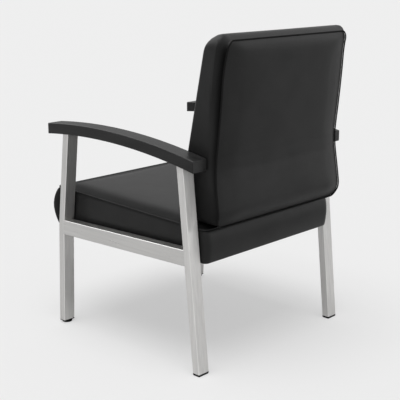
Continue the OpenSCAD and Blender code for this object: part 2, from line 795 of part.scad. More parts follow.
module back_bracket(side) {
    x = bracket_x(side);
    color("silver") placed() difference() {
        side_prism(bracket_points(0, -seat_clear), x - bracket_w / 2, x + bracket_w / 2);
        at_bracket_bolts(false) translate([0, 0, -bracket_t - over])
            cylinder(d = bolt_d + 2 * hole_clear, h = bracket_t + 2 * over);
        at_bracket_bolts(true) translate([0, 0, -bracket_t - over])
            cylinder(d = bolt_d + 2 * hole_clear, h = bracket_t + 2 * over);
    }
}
// Room for the brackets and their bolt heads, cut from foam and covers
module bracket_channels() {
    for (side = [left, right]) {
        x = bracket_x(side);
        half = bracket_w / 2 + channel_clear;
        side_prism(bracket_points(bolt_head_h + channel_clear, seat_clear), x - half, x + half);
        translate([x - half, plywood_front(bracket_top_z) - bracket_t - bolt_head_h - channel_clear,
            bracket_top_z - over])
            cube([2 * half, bracket_t + bolt_head_h, over + channel_clear]);
    }
}

// Bolt places: two per bracket in the seat's rear board, or two in the plywood
lower_bolt_z = seat_bottom(seat_rear) + dust_t + board_h / 2;
lower_bolt_pitch = bracket_w / 2;
upper_bolt_z = [for (i = [0, 1]) bracket_top_z - bracket_w / 2 - i * upper_bolt_pitch];
module at_bracket_bolts(upper) {
    for (side = [left, right], i = [0, 1]) {
        if (upper)
            translate([bracket_x(side), plywood_front(upper_bolt_z[i]), upper_bolt_z[i]])
                rotate([-90 - back_board_lean, 0, 0]) children();
        else
            translate([bracket_x(side) + (i - 1 / 2) * lower_bolt_pitch, bracket_seat_y, lower_bolt_z])
                rotate([-90, 0, 0]) children();
    }
}
module bracket_bolts() {
    color("dimgray") placed() for (upper = [false, true])
        at_bracket_bolts(upper) translate([0, 0, -bracket_t - seat_clear])
            bolt(bracket_t + insert_l);
}
module board_inserts() {
    color("goldenrod") placed() for (upper = [false, true])
        at_bracket_bolts(upper) ring(insert_d, bolt_d + 2 * hole_clear, insert_l);
}

// Back board and its foams
module back_board() {
    color("burlywood") placed() difference() {
        translate([-back_board_w / 2, back_board_y, back_z + back_board_lift])
            rotate([-back_board_lean, 0, 0]) translate([0, -back_board_t, 0])
            cube([back_board_w, back_board_t, back_board_h]);
        at_bracket_bolts(true) translate([0, 0, -over]) cylinder(d = insert_d, h = insert_l + over);
    }
}
module behind_board(clear) {
    translate([-reach / 2, back_board_y + clear, back_z + back_board_lift])
        rotate([-back_board_lean, 0, 0]) translate([0, 0, -reach / 2])
        cube(reach);
}
module back_form(inset) {
    front = [for (level = reversed(crown_shares)) back_crown_ring(inset, level, false, inset)];
    bands = [for (v = reversed(band_shares)) if (v > 0 && v < 1) back_band_ring(inset, v)];
    rear = [for (level = crown_shares) back_crown_ring(inset, level, true, inset)];
    loft(concat(front, bands, rear), back_tip(false, inset), back_tip(true, inset));
}
module back_foam() {
    color("lemonchiffon") placed() difference() {
        back_form(foam_inset);
        behind_board(0);
        translate([-back_board_w / 2 - seat_clear, back_board_y, back_z + back_board_lift])
            rotate([-back_board_lean, 0, 0])
            translate([0, -back_board_t - seat_clear, -seat_clear])
            cube([back_board_w + 2 * seat_clear, back_board_t + seat_clear + over,
                back_board_h + 2 * seat_clear]);
        bracket_channels();
    }
}
module back_rear_pad() {
    color("lemonchiffon") placed() intersection() {
        back_form(foam_inset);
        behind_board(seat_clear);
    }
}
module back_front_cover() {
    outer = [for (level = reversed(crown_shares)) back_crown_ring(0, level, false, 0)];
    inner = [for (level = crown_shares) back_crown_ring(cover_t, level, false, skin_drop(level))];
    color([0.13, 0.13, 0.14]) placed()
        loft(concat(outer, inner), back_tip(false, 0), back_tip(false, cover_t));
}
module back_rear_cover() {
    inner = [for (level = reversed(crown_shares))
        back_crown_ring(cover_t, level, true, skin_drop(level))];
    outer = [for (level = crown_shares) back_crown_ring(0, level, true, 0)];
    color([0.13, 0.13, 0.14]) placed()
        loft(concat(inner, outer), back_tip(true, cover_t), back_tip(true, 0));
}
module back_boxing() {
    outer = [for (v = reversed(band_shares)) back_band_ring(0, v)];
    inner = [for (v = band_shares) back_band_ring(cover_t, v)];
    color([0.13, 0.13, 0.14]) placed() difference() {
        hoop(concat(outer, inner));
        bracket_channels();
    }
}

front_leg(left);  // front_leg_left
front_leg(right);  // front_leg_right
rear_leg(left);  // rear_leg_left
rear_leg(right);  // rear_leg_right
side_rail(left);  // side_rail_left
side_rail(right);  // side_rail_right
arm_bar(left);  // arm_bar_left
arm_bar(right);  // arm_bar_right
armrest(left);  // armrest_left
armrest(right);  // armrest_right
arm_screws();
front_plug(left);  // front_plug_left
front_plug(right);  // front_plug_right
front_glide(left);  // front_glide_left
front_glide(right);  // front_glide_right
rear_cap(left);  // rear_cap_left
rear_cap(right);  // rear_cap_right
seat_front_board();
seat_rear_board();
seat_side_board(left);  // seat_side_board_left
seat_side_board(right);  // seat_side_board_right
seat_corner_blocks();
seat_deck();
seat_dust_cover();
seat_foam();
seat_top_cover();
seat_boxing();
seat_welt();
side_bolts();
side_washers();
side_spacers();
rail_inserts();
back_bracket(left);  // back_bracket_left
back_bracket(right);  // back_bracket_right
bracket_bolts();
board_inserts();
back_board();
back_foam();
back_rear_pad();
back_front_cover();
back_boxing();
back_rear_cover();
back_welt();
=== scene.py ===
import math

import bmesh
import bpy
import numpy as np
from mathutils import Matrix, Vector


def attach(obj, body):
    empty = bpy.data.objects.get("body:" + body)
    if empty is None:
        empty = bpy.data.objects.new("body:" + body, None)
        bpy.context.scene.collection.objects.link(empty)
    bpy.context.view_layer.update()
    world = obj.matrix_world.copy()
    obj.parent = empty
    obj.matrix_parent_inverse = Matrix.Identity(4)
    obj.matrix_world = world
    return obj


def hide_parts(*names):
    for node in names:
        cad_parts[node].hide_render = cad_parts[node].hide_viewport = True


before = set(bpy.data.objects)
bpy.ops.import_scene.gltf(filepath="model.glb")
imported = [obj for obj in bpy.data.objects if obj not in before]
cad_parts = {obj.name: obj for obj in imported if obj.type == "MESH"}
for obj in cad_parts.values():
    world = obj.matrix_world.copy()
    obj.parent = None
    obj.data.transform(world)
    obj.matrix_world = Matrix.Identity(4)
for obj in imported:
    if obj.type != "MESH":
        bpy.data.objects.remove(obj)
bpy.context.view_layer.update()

# Lengths are in millimetres, as in the chair's own drawing, and turn into metres in the mesh.
# Along Y they count from the foot line, midway between the front and rear feet. Leans, rises and
# falls are in degrees.
MM = 0.001
SHIFT = 8.088
MERGE_WITHIN, SHARP_OVER, GUARD = 0.02, 38, 0.5
ALONG_Y, ALONG_Z = 1, 2
REARWARD, UPWARD = np.array([0.0, 1.0, 0.0]), np.array([0.0, 0.0, 1.0])

LEG_X, LEG_W, LEG_D = 298.0, 40.0, 24.0
TUBE_R = 2.4
KNEE_Y, KNEE_Z, KNEE_SOFT = 288.0, 322.0, 8.0
KNEE_STATIONS = (290, 304, 311, 316, 320, 324, 328, 333, 340, 354)
FRONT_LEAN_LOW, FRONT_LEAN_HIGH, REAR_LEAN = 2.5, 6.9, 5.9
LEG_TOP_Z, LEG_TOP_GAP = 600.0, 0.3
REAR_FOOT_Y, CAP_T = 302.0, 7.0
FRONT_FOOT_Z, GLIDE_T = 9.0, 6.0
GLIDE_R, STEM_R, STEM_L = 15.5, 4.0, 24.0
PLUG_INSET, PLUG_L, PLUG_R, STEM_GAP = 2.3, 22.0, 2.0, 0.3
RAIL_X, RAIL_W, RAIL_H, RAIL_Z, RAIL_RISE = 303.0, 30.0, 45.0, 322.0, 1.5
RAIL_FRONT, RAIL_REAR, RAIL_IN_LEG = -264.0, 258.0, 2.5
ARM_W, ARM_FRONT, ARM_REAR = 52.0, -315.0, 286.0
ARCH_Y, ARCH_Z, ARCH_R, ARCH_UNDER_R = -120.0, -1359.0, 2000.0, 1968.0
ARM_HALF_T = (ARCH_R - ARCH_UNDER_R) / 2
BAR_W, BAR_T, BAR_FRONT, BAR_REAR = 30.4, 4.2, -254.0, 243.4

SEAT_HALF_W, SEAT_FRONT, SEAT_REAR, SEAT_CORNER = 274.4, -340.0, 282.0, 14.0
SEAT_Z, SEAT_SEAM_Z = 308.0, 411.0
SEAT_BOTTOM_RISE, SEAT_SEAM_FALL = 1, 2
SEAT_NOSE, SEAT_HEEL, SEAT_MID, SEAT_DROOP = 31.0, 9.0, -29.0, 6
# Ahead of NOSE_Y the seat is clear of the front legs
NOSE_Y, NOSE_WIDER = -296, 7
DUST_SIDE, DUST_FRONT, DUST_HEM, DUST_T = 11, 20, 14, 0.9
DUST_BELOW, DUST_SAG, DUST_SAG_REACH = 1.1, 3.5, 150
BACK_HALF_W, BACK_Z, BACK_SEAM_Z = 269.0, 418.0, 905.0
BACK_BOTTOM_R, BACK_TOP_PUFF, BACK_HANG = 26.0, 16.0, 5.0
BACK_EDGE, BACK_EDGE_AHEAD = 9.0, 8.5
BACK_WAIST_Y, BACK_SWEEP, BACK_FOOT_Y, BACK_LEAN = 315.0, 30.0, 178.0, 12.0
# Height share up the back against share of the sweep, along its rear seam
BACK_SHARE = (-0.1, 0, 0.015, 0.03, 0.066, 0.127, 0.209, 0.302,
              0.384, 0.456, 0.559, 0.661, 0.805, 0.877, 0.928, 1, 1.1)
BACK_SET = (0, 0, 0.13, 0.24, 0.36, 0.22, 0.03, -0.14,
            -0.15, -0.03, 0.15, 0.31, 0.5, 0.62, 0.77, 0.97, 1.1)
SEAM_R, BACK_FRONT_R = 30.0, 21.0
WELT_R, WELT_OUT, WELT_LIFT = 2.0, 1.15, 1.99

# Steps of the grids across and up each cushion and the dust cloth, and along each quarter arc
SEAT_ACROSS, SEAT_UP = 74, 84
BACK_ACROSS, BACK_UP = 74, 68
DUST_ACROSS, DUST_UP = 40, 44
ARC_STEPS = 24

# The short run that fills a cushion with air
AIR_FRAMES = 20
AIR = {"quality": 4, "mass": 0.4, "use_pressure": True, "uniform_pressure_force": 4.0,
       "tension_stiffness": 30, "compression_stiffness": 30, "bending_stiffness": 2,
       "tension_damping": 10}


def slope(degrees):
    """Rise over run of a line that leans by so many degrees."""
    return math.tan(math.radians(degrees))


# Lines and planes that the pieces share

def front_leg_line(z):
    """Front face of a front leg: two straight slopes joined by a hyperbola over the bend."""
    low, high = slope(FRONT_LEAN_LOW), slope(FRONT_LEAN_HIGH)
    rise = z - KNEE_Z
    return -KNEE_Y + (low + high) / 2 * rise + (high - low) / 2 * np.hypot(rise, KNEE_SOFT)


def rear_leg_line(z):
    """Rear face of a rear leg: one straight slope from its foot."""
    return REAR_FOOT_Y - (z - CAP_T) * slope(REAR_LEAN)


def arch(y, radius):
    """Height over y of a circle of that radius about the armrest's arch centre."""
    return ARCH_Z + np.sqrt(radius ** 2 - (y - ARCH_Y) ** 2)


def smooth(share):
    """Smooth step from 0 to 1."""
    share = np.clip(share, 0, 1)
    return share * share * (3 - 2 * share)


def seat_bottom(y):
    """Height of the seat's underside, which rises a little to the rear."""
    return SEAT_Z + y * slope(SEAT_BOTTOM_RISE)


def seat_seam(y):
    """Height of the seat's top seam, which falls a little to the rear."""
    return SEAT_SEAM_Z - y * slope(SEAT_SEAM_FALL)


def seat_inside(x, y):
    """How far a point lies inside the seat's sides, and inside its front and rear."""
    return SEAT_HALF_W - np.abs(x), np.minimum(y - SEAT_FRONT, SEAT_REAR - y)


def seat_ends(y):
    """Nearness to the seat's front and to its rear: the eighth power of the way out from its
    middle, so 1 at the end and next to nothing half way."""
    ahead = np.clip((SEAT_MID - y) / (SEAT_MID - SEAT_FRONT), 0, None) ** 8
    behind = np.clip((y - SEAT_MID) / (SEAT_REAR - SEAT_MID), 0, None) ** 8
    return ahead, behind


def back_share(z):
    """Share of the back's height, 0 at its lower edge and 1 at its top seam."""
    return (z - BACK_Z) / (BACK_SEAM_Z - BACK_Z)


def back_rear(z):
    """Depth of the back's rear seam: the waist line plus the sweep times the table's value,
    averaged over five heights close by."""
    near = [np.interp(back_share(z + step), BACK_SHARE, BACK_SET) for step in (-9, -4, 0, 4, 9)]
    return BACK_WAIST_Y + BACK_SWEEP * np.mean(near, axis=0)


def back_front(z):
    """Depth of the back's front edge: a straight lean, and near its top a parabola that rounds
    it to the rear."""
    round_from, round_by = 0.93, 8
    over = np.clip((back_share(z) - round_from) / 0.07, 0, None)
    return BACK_FOOT_Y + (z - BACK_Z) * slope(BACK_LEAN) + round_by * over ** 2


def seam_draw(z):
    """How far the rear seam lies inside the back's side: little at its foot, more past the
    waist, and more again towards the top, by two smooth steps."""
    foot, middle, top = 1, 8.5, 5
    return foot + middle * smooth((z - 480) / 160) + top * smooth((z - 790) / 100)


# Mesh makers

def grid_faces(rows, cols, wrap=False, close=False):
    """Quads of a grid of rows by cols points, its rows wrapped round and its last row joined to
    the first where asked."""
    row = np.arange(rows if close else rows - 1)[:, None]
    col = np.arange(cols if wrap else cols - 1)[None, :]
    ahead, beside = (row + 1) % rows, (col + 1) % cols
    quads = np.stack([row * cols + col, row * cols + beside,
                      ahead * cols + beside, ahead * cols + col], axis=-1)
    return quads.reshape(-1, 4).tolist()


def loft(rings):
    """Closed skin over rings of points: quads between neighbours, a fan over each end. A ring
    just inside each end keeps the end face flat in its shading."""
    ends = rings[[0, -1]]
    inner = ends + 0.05 * (ends.mean(axis=1, keepdims=True) - ends)
    rings = np.concatenate([inner[:1], rings, inner[1:]])
    count, sides = rings.shape[:2]
    points = np.vstack([rings.reshape(-1, 3), rings[0].mean(axis=0), rings[-1].mean(axis=0)])
    here = np.arange(sides)
    beside = (here + 1) % sides
    last = (count - 1) * sides
    first_fan = np.stack([np.full(sides, count * sides), beside, here], axis=-1)
    last_fan = np.stack([np.full(sides, count * sides + 1), last + here, last + beside], axis=-1)
    return points, grid_faces(count, sides, wrap=True) + first_fan.tolist() + last_fan.tolist()


def points_of(x, y, z):
    """Points from their coordinates, each of which may be shared by rows or columns."""
    return np.stack(np.broadcast_arrays(x, y, z), axis=-1)


def hoop(rings):
    """Closed skin over rings whose last one joins the first again."""
    return rings.reshape(-1, 3), grid_faces(*rings.shape[:2], wrap=True, close=True)


def joined(*parts):
    """Several (points, faces) pairs as one pair."""
    points, faces, start = [], [], 0
    for part_points, part_faces in parts:
        flat = part_points.reshape(-1, 3)
        points.append(flat)
        faces += [[corner + start for corner in face] for face in part_faces]
        start += len(flat)
    return np.vstack(points), faces


def skin(around, *panels):
    """Closed skin of a band of rows that runs round and the panels that close it."""
    return joined((around, grid_faces(*around.shape[:2], wrap=True)),
                  *((panel, grid_faces(*panel.shape[:2])) for panel in panels))


def placed(name, data):
    """New object of a mesh, lamp or camera, in the scene."""
    made = bpy.data.objects.new(name, data)
    bpy.context.scene.collection.objects.link(made)
    return made


def make_mesh(name, shape):
    """Mesh object of a (points, faces) pair in drawing millimetres, set in metres in the shared
    frame, with doubles merged, its faces turned outward and its clear edges sharp."""
    points, faces = shape
    place = (points + (0, SHIFT, 0)) * MM
    mesh = bpy.data.meshes.new(name)
    mesh.from_pydata(place.tolist(), [], faces)
    work = bmesh.new()
    work.from_mesh(mesh)
    bmesh.ops.remove_doubles(work, verts=work.verts, dist=MERGE_WITHIN * MM)
    bmesh.ops.recalc_face_normals(work, faces=work.faces)
    for face in work.faces:
        face.smooth = True
    work.to_mesh(mesh)
    work.free()
    mesh.set_sharp_from_angle(angle=math.radians(SHARP_OVER))
    return placed(name, mesh)


def read_points(mesh, what):
    """The coordinates or normals of a mesh's points, one row for each."""
    flat = np.empty(len(mesh.vertices) * 3)
    mesh.vertices.foreach_get(what, flat)
    return flat.reshape(-1, 3)


def store_painted_light_mask(made, share):
    """Stores a value for each point, which the materials read as where to paint shade or a
    highlight.
    """
    made.data.attributes.new("edge", "FLOAT", "POINT").data.foreach_set("value", share)
    return made


def mark_tube(made, along, end=0.0):
    """Stores how far round its edge each point of a tube lies, by the larger part of its normal
    square to the axis: 0 on a flat, 1 midway between two. The end faces get the value end. The
    materials paint a highlight or shade on the tube by this value."""
    flat_from, edge_width, end_below = 0.985, 0.2, 0.3
    across = np.delete(np.abs(read_points(made.data, "normal")), along, axis=1)
    most = across.max(axis=1) / (np.linalg.norm(across, axis=1) + 1e-6)
    round_edge = smooth((flat_from - most) / edge_width)
    return store_painted_light_mask(made, np.where(across.max(axis=1) > end_below, round_edge, end))


def fit(made, material, nodes=(), body="chair"):
    """Gives a finished mesh its material, its body and the CAD nodes it stands for."""
    made.data.materials.clear()
    made.data.materials.append(material)
    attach(made, body)
    if nodes:
        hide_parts(*nodes)
    return made


def rounded(half_w, half_d, radius, steps=5):
    """Rounded rectangle, counter-clockwise: four quarter arcs, with a guard point just beside
    each arc so that the flats shade flat."""
    turn = np.radians(np.linspace(0, 90, steps))
    arc = np.stack([np.cos(turn), np.sin(turn)], axis=-1) * radius
    arc = np.vstack([(radius, -GUARD), arc, (-GUARD, radius)])
    corners = []
    for turns, (right, up) in enumerate(((1, 1), (-1, 1), (-1, -1), (1, -1))):
        angle = math.radians(90 * turns)
        spin = np.array([[math.cos(angle), math.sin(angle)], [-math.sin(angle), math.cos(angle)]])
        corners.append(arc @ spin + (right * (half_w - radius), up * (half_d - radius)))
    return np.vstack(corners)


# Frame: legs, rails

def leg(line, low_z, shares):
    """Tube with a rounded oblong section: each point of the section rises by its share of the
    way from the foot to the armrest's underside, along the leg's own line."""
    flat = rounded(LEG_W / 2, LEG_D / 2, TUBE_R)
    top_y = line(arch(line(LEG_TOP_Z), ARCH_UNDER_R)) + flat[:, 1]
    top_z = arch(top_y, ARCH_UNDER_R) - LEG_TOP_GAP
    z = low_z + shares[:, None] * (top_z - low_z)
    return points_of(flat[:, 0], line(z) + flat[:, 1], z)


def front_leg_middle(z):
    """Middle line of a front leg, half a tube behind its front face."""
    return front_leg_line(z) + LEG_D / 2


def rear_leg_middle(z):
    """Middle line of a rear leg, half a tube ahead of its rear face."""
    return rear_leg_line(z) - LEG_D / 2


def rail():
    """Tube between the legs: an upright rounded section carried along a line that rises to the
    rear, each of its points running from one leg's face to the other's."""
    flat = rounded(RAIL_W / 2, RAIL_H / 2, TUBE_R)
    shares = np.linspace(0, 1, 9)[:, None]
    low_z = RAIL_Z + flat[:, 1] + RAIL_FRONT * slope(RAIL_RISE)
    high_z = RAIL_Z + flat[:, 1] + RAIL_REAR * slope(RAIL_RISE)
    start = front_leg_line(low_z) + LEG_D - RAIL_IN_LEG
    end = rear_leg_line(high_z) - LEG_D + RAIL_IN_LEG
    y = start + shares * (end - start)
    return points_of(flat[:, 0], y, RAIL_Z + flat[:, 1] + y * slope(RAIL_RISE))


# Armrest

def armrest():
    """Bar under a long arch: an upright section with round upper edges, small lower ones and a
    groove for the flat bar below, drawn in at both ends by a small quarter round."""
    half_h, top_r, low_r, lip, bevel = 10, 2.6, 1.8, 0.8, 1.1
    upper = np.split(rounded(ARM_W / 2, half_h, top_r, steps=6), 2)[0]
    lower_left, lower_right = np.split(rounded(ARM_W / 2, half_h, low_r), 4)[2:]
    half = BAR_W / 2
    groove = [(-half - lip, 0), (-half, 0), (-half, BAR_T),
              (half, BAR_T), (half, 0), (half + lip, 0)]
    # Heights of the section count from the top arch for its upper half, then from the lower one
    section = np.vstack([upper - (0, half_h), lower_left + (0, half_h), groove,
                         lower_right + (0, half_h)])
    number = np.arange(len(section))
    is_top = number < len(upper)
    in_groove = np.isin(number - len(upper) - len(lower_left), (2, 3))

    # Stations: round both ends, evenly between, and close together where the groove stops
    ends = bevel * (1 - np.cos(np.radians([0, 22, 45, 68, 90])))
    margin, stop = 4, 0.2
    y = np.unique(np.concatenate([
        ARM_FRONT + ends, ARM_REAR - ends, np.linspace(ARM_FRONT + margin, ARM_REAR - margin, 61),
        (BAR_FRONT - stop, BAR_FRONT, BAR_REAR, BAR_REAR + stop)]))
    to_end = np.minimum(y - ARM_FRONT, ARM_REAR - y)
    inset = bevel - np.sqrt(np.clip(bevel ** 2 - np.clip(bevel - to_end, 0, None) ** 2, 0, None))
    cut = ((y > BAR_FRONT - stop / 2) & (y < BAR_REAR + stop / 2)).astype(float)[:, None]
    height = np.where(is_top, arch(y, ARCH_R)[:, None], arch(y, ARCH_UNDER_R)[:, None])
    height = height + section[:, 1] * np.where(in_groove, cut, 1)
    middle = (arch(y, ARCH_R) + arch(y, ARCH_UNDER_R))[:, None] / 2
    height = middle + (height - middle) * (1 - inset[:, None] / ARM_HALF_T)
    wide = section[:, 0] * (1 - inset[:, None] / (ARM_W / 2))
    return points_of(wide, y[:, None], height)


# Feet

def foot_sections():
    """Section of a leg's flange, and of the part of a plug or cap that goes up inside."""
    return (rounded(LEG_W / 2, LEG_D / 2, TUBE_R),
            rounded(LEG_W / 2 - PLUG_INSET, LEG_D / 2 - PLUG_INSET, PLUG_R))


def stacked(rows):
    """Rings from rows of (section, depth of its middle, height)."""
    return np.array([points_of(flat[:, 0], flat[:, 1] + y, z) for flat, y, z in rows])


def front_plug():
    """Plastic plug of a front leg: a rounded flange, the body inside the tube, and a round hole
    for the glide's stem. The rings run round the section, from the hole out, up and back in."""
    flange, body = foot_sections()
    turn = np.arctan2(flange[:, 1], flange[:, 0])
    hole = np.stack([np.cos(turn), np.sin(turn)], axis=-1) * (STEM_R + STEM_GAP)
    foot = front_leg_middle(FRONT_FOOT_Z)
    top = front_leg_middle(FRONT_FOOT_Z + PLUG_L)
    return stacked([
        (hole, foot, GLIDE_T), (flange * 0.96, foot, GLIDE_T), (flange, foot, GLIDE_T + 0.6),
        (flange, foot, FRONT_FOOT_Z), (body, foot, FRONT_FOOT_Z),
        (body, top, FRONT_FOOT_Z + PLUG_L), (hole, foot, FRONT_FOOT_Z + PLUG_L)])


def front_glide():
    """Round glide on its screw: a profile of radius against height, turned about its axis."""
    profile = np.array([(0.01, 0), (11.0, 0), (13.6, 0.15), (14.9, 0.8), (GLIDE_R, 1.9),
                        (GLIDE_R, 4.4), (15.1, 5.4), (14.2, 5.9), (12.5, 5.98), (STEM_R, 5.98),
                        (STEM_R, 7.2), (STEM_R, GLIDE_T + STEM_L - 0.8),
                        (STEM_R - 0.8, GLIDE_T + STEM_L), (0.01, GLIDE_T + STEM_L)])
    turn = np.radians(np.arange(0, 360, 7.5))
    x = profile[:, :1] * np.cos(turn)
    y = profile[:, :1] * np.sin(turn) + front_leg_middle(FRONT_FOOT_Z)
    return points_of(x, y, profile[:, 1:])


def rear_cap():
    """Plastic cap of a rear leg: a thick rounded flange that stands on the floor, its lower edge
    eased, and the body that fills the leaning tube's end."""
    flange, body = foot_sections()
    foot = rear_leg_middle(CAP_T)
    top = rear_leg_middle(CAP_T + PLUG_L)
    eased = [(0.80, 0.0), (0.88, 0.25), (0.94, 1.0), (0.98, 2.2), (1, 3.6), (1, CAP_T - 0.4),
             (0.99, CAP_T)]
    return stacked([(flange * size, foot, z) for size, z in eased]
                   + [(body, foot, CAP_T), (body, top, CAP_T + PLUG_L)])


# Cushions

def quarter(share):
    """Quarter circle from 0 to 1: steep at the seam, level further in."""
    return np.sqrt(1 - (1 - np.clip(share, 0, 1)) ** 2)


def bow(share):
    """Parabola from 0 to 1: a firm slope at the seam, level further in."""
    return 1 - (1 - np.clip(share, 0, 1)) ** 2


def cushion_ring(half_w, low, high, low_r, high_r, across, up):
    """Rounded rectangle as a closed row of points, counter-clockwise from the middle of its lower
    right corner, its sides split into up, across, up and across equal steps."""
    corners = ((half_w - low_r, low + low_r, low_r, -45),
               (half_w - high_r, high - high_r, high_r, 45),
               (high_r - half_w, high - high_r, high_r, 135),
               (low_r - half_w, low + low_r, low_r, 225))
    row = []
    for side, steps in enumerate((up, across, up, across)):
        run = []
        for (x, y, radius, angle), turn in ((corners[side], (0, 45)),
                                            (corners[(side + 1) % 4], (-45, 0))):
            turn = np.radians(np.linspace(angle + turn[0], angle + turn[1], ARC_STEPS))
            run.append(np.stack([x + radius * np.cos(turn), y + radius * np.sin(turn)], axis=-1))
        run = np.vstack(run)
        length = np.concatenate([[0], np.cumsum(np.linalg.norm(np.diff(run, axis=0), axis=1))])
        even = np.linspace(0, length[-1], steps + 1)[:-1]
        row.append(np.stack([np.interp(even, length, run[:, k]) for k in (0, 1)], axis=-1))
    return np.vstack(row)


def cushion_patch(ring, across, up):
    """Grid that fills a cushion ring: each point blends the two sides it lies between, across
    and up, less the blend of the four corners (a Coons patch)."""
    ring = np.vstack([ring, ring[:1]])
    right = ring[:up + 1]
    top = ring[up:up + across + 1][::-1]
    left = ring[up + across:2 * up + across + 1][::-1]
    bottom = ring[2 * up + across:]
    u = np.linspace(0, 1, across + 1)[None, :, None]
    v = np.linspace(0, 1, up + 1)[:, None, None]
    sides = (1 - v) * bottom[None] + v * top[None] + (1 - u) * left[:, None] + u * right[:, None]
    corners = ((1 - u) * (1 - v) * bottom[0] + u * (1 - v) * bottom[-1]
               + (1 - u) * v * top[0] + u * v * top[-1])
    return sides - corners


def seam_out(path, first, second):
    """Unit vectors square to a closed seam, outward in the plane of two of its axes."""
    step = np.roll(path, -1, axis=0) - np.roll(path, 1, axis=0)
    length = np.hypot(step[:, first], step[:, second])
    out = np.zeros_like(path)
    out[:, first] = step[:, second] / length
    out[:, second] = -step[:, first] / length
    return out


# Swells as (curve, height, how far in from the sides and from the ends it levels out). On the
# seat a quick roll just inside the seam, a wider slope, then a long low swell to the middle
SEAT_SWELLS = ((quarter, 4.5, 30, 30), (bow, 7, 64, 64), (bow, 2.5, 130, 130))
BACK_REAR_SWELLS = ((bow, 7, 75, 48), (bow, 3.5, 60, 28))
BACK_FRONT_SWELLS = ((quarter, -20, 170, 150),)


def swollen(base, side, end, swells):
    """Base plus its swells, each a height times a curve from the sides and one from the ends."""
    for curve, height, side_reach, end_reach in swells:
        base = base + height * curve(side / side_reach) * curve(end / end_reach)
    return base


def seat_painted_shade(place):
    """Where shade is painted on the seat's cover, which is also rougher there: closeness to its
    seams, 1 at the welt and 0 well inside the top or down the wall, and high round the nose and
    under the back, where the seat lies in shade."""
    rim, rim_fade, wall_fade, nose_fade = 20, 44, 6, 22
    under_back_y, back_fade = 225, 25
    x, y, z = place.T
    inside = np.minimum(*seat_inside(x, y))
    below = seat_seam(y) - z
    on_top = below < 0.5
    close = np.where(on_top, 1 - smooth((inside - rim) / rim_fade), 1 - smooth(below / wall_fade))
    nose = smooth((NOSE_Y - y) / nose_fade) * ~on_top
    return np.maximum(close, np.maximum(nose, smooth((y - under_back_y) / back_fade) * on_top))


def back_painted_shade(place):
    """Where shade is painted on the back's cover, which is also rougher there: closeness to its
    rear seam, 1 in the valley beside the welt, high at its foot, where armrests and seat shade it,
    and on the lower part of its boxing and front panel."""
    valley_from, valley_fade, top_z, top_fade = 6, 13, 882, 16
    foot_tone, foot_fade, side_tone, side_from, side_fade = 0.6, 36, 0.85, 10, 150
    x, y, z = place.T
    ahead = back_rear(z) - y
    on_rear = ahead <= 0.4
    valley = (1 - smooth((ahead - valley_from) / valley_fade)) * ~on_rear
    valley = valley * (1 - 0.9 * smooth((z - top_z) / top_fade))
    foot = foot_tone * (1 - smooth((z - BACK_Z) / foot_fade)) * on_rear
    shaded = side_tone * (1 - smooth((z - BACK_Z - side_from) / side_fade)) * ~on_rear
    return np.maximum(valley, shaded) + foot


def seat_shape():
    """Closed seat cushion: top panel over the seam, upright boxing whose front swells into a
    nose and whose rear swells a little, and a flat underside with eased edges."""
    ring = seat_outline(0, 0, SEAT_CORNER, SEAT_ACROSS, SEAT_UP)
    # The rows up the boxing lie closer beside its seams
    heights = np.array([0, 0.015, 0.045, 0.09, 0.16, 0.25, 0.35, 0.45, 0.55, 0.65, 0.75,
                        0.84, 0.91, 0.955, 0.985, 1])
    ahead, behind = seat_ends(ring[:, 1])
    # Up the boxing the swell is the mean of a sine and a half circle
    round_rise = (np.sin(np.pi * heights)[:, None]
                  + np.sqrt(1 - (2 * heights - 1) ** 2)[:, None]) / 2
    bulge = round_rise * (SEAT_HEEL * behind - SEAT_NOSE * ahead)
    # Ahead of the front legs the nose also swells sideways, and both ends hang a little
    nose_fade = 24
    free = smooth((NOSE_Y - ring[:, 1]) / nose_fade)
    droop = SEAT_DROOP * (ahead + behind) * np.exp(-(heights[:, None] / 0.3) ** 2)
    # The boxing draws in under the welt and at its lower hem
    seam_tuck, hem_tuck = 1.6, 2.8
    tuck = (seam_tuck * np.exp(-((1 - heights) / 0.035) ** 2)
            + hem_tuck * (1 - quarter(heights / 0.05)))
    middle = np.array([0, SEAT_MID])
    reach = np.array([SEAT_HALF_W, SEAT_REAR - SEAT_MID])
    rows = middle + (ring - middle)[None] * (1 - tuck[:, None, None] / reach)
    y = rows[..., 1] + bulge
    low, high = seat_bottom(rows[..., 1]), seat_seam(rows[..., 1])
    z = low + (high - low) * heights[:, None] - droop
    x = rows[..., 0] + np.sign(rows[..., 0]) * NOSE_WIDER * free * round_rise * (
        np.abs(rows[..., 0]) / SEAT_HALF_W) ** 6
    boxing = points_of(x, y, z)

    top_plan = cushion_patch(boxing[-1][:, :2], SEAT_ACROSS, SEAT_UP)
    x, y = top_plan[..., 0], top_plan[..., 1]
    top = np.dstack([top_plan, seat_seam(y) + swollen(0, *seat_inside(x, y), SEAT_SWELLS)])
    under_plan = cushion_patch(boxing[0][:, :2], SEAT_ACROSS, SEAT_UP)
    sunk = cushion_patch(np.column_stack([droop[0], droop[0]]), SEAT_ACROSS, SEAT_UP)[..., 0]
    under = np.dstack([under_plan, seat_bottom(under_plan[..., 1]) - sunk])
    return skin(boxing, top, under)


def seat_outline(side, front, corner, across, up):
    """Plan of the seat drawn in by side at its sides and rear and by front at its front."""
    return cushion_ring(SEAT_HALF_W - side, SEAT_FRONT + front, SEAT_REAR - side, corner, corner,
                        across, up)


def dust_cloth_low(y):
    """Height of the dust cloth's hem, which follows the seat's underside just below it."""
    ahead, behind = seat_ends(y)
    return seat_bottom(y) - SEAT_DROOP * (ahead + behind) - DUST_BELOW


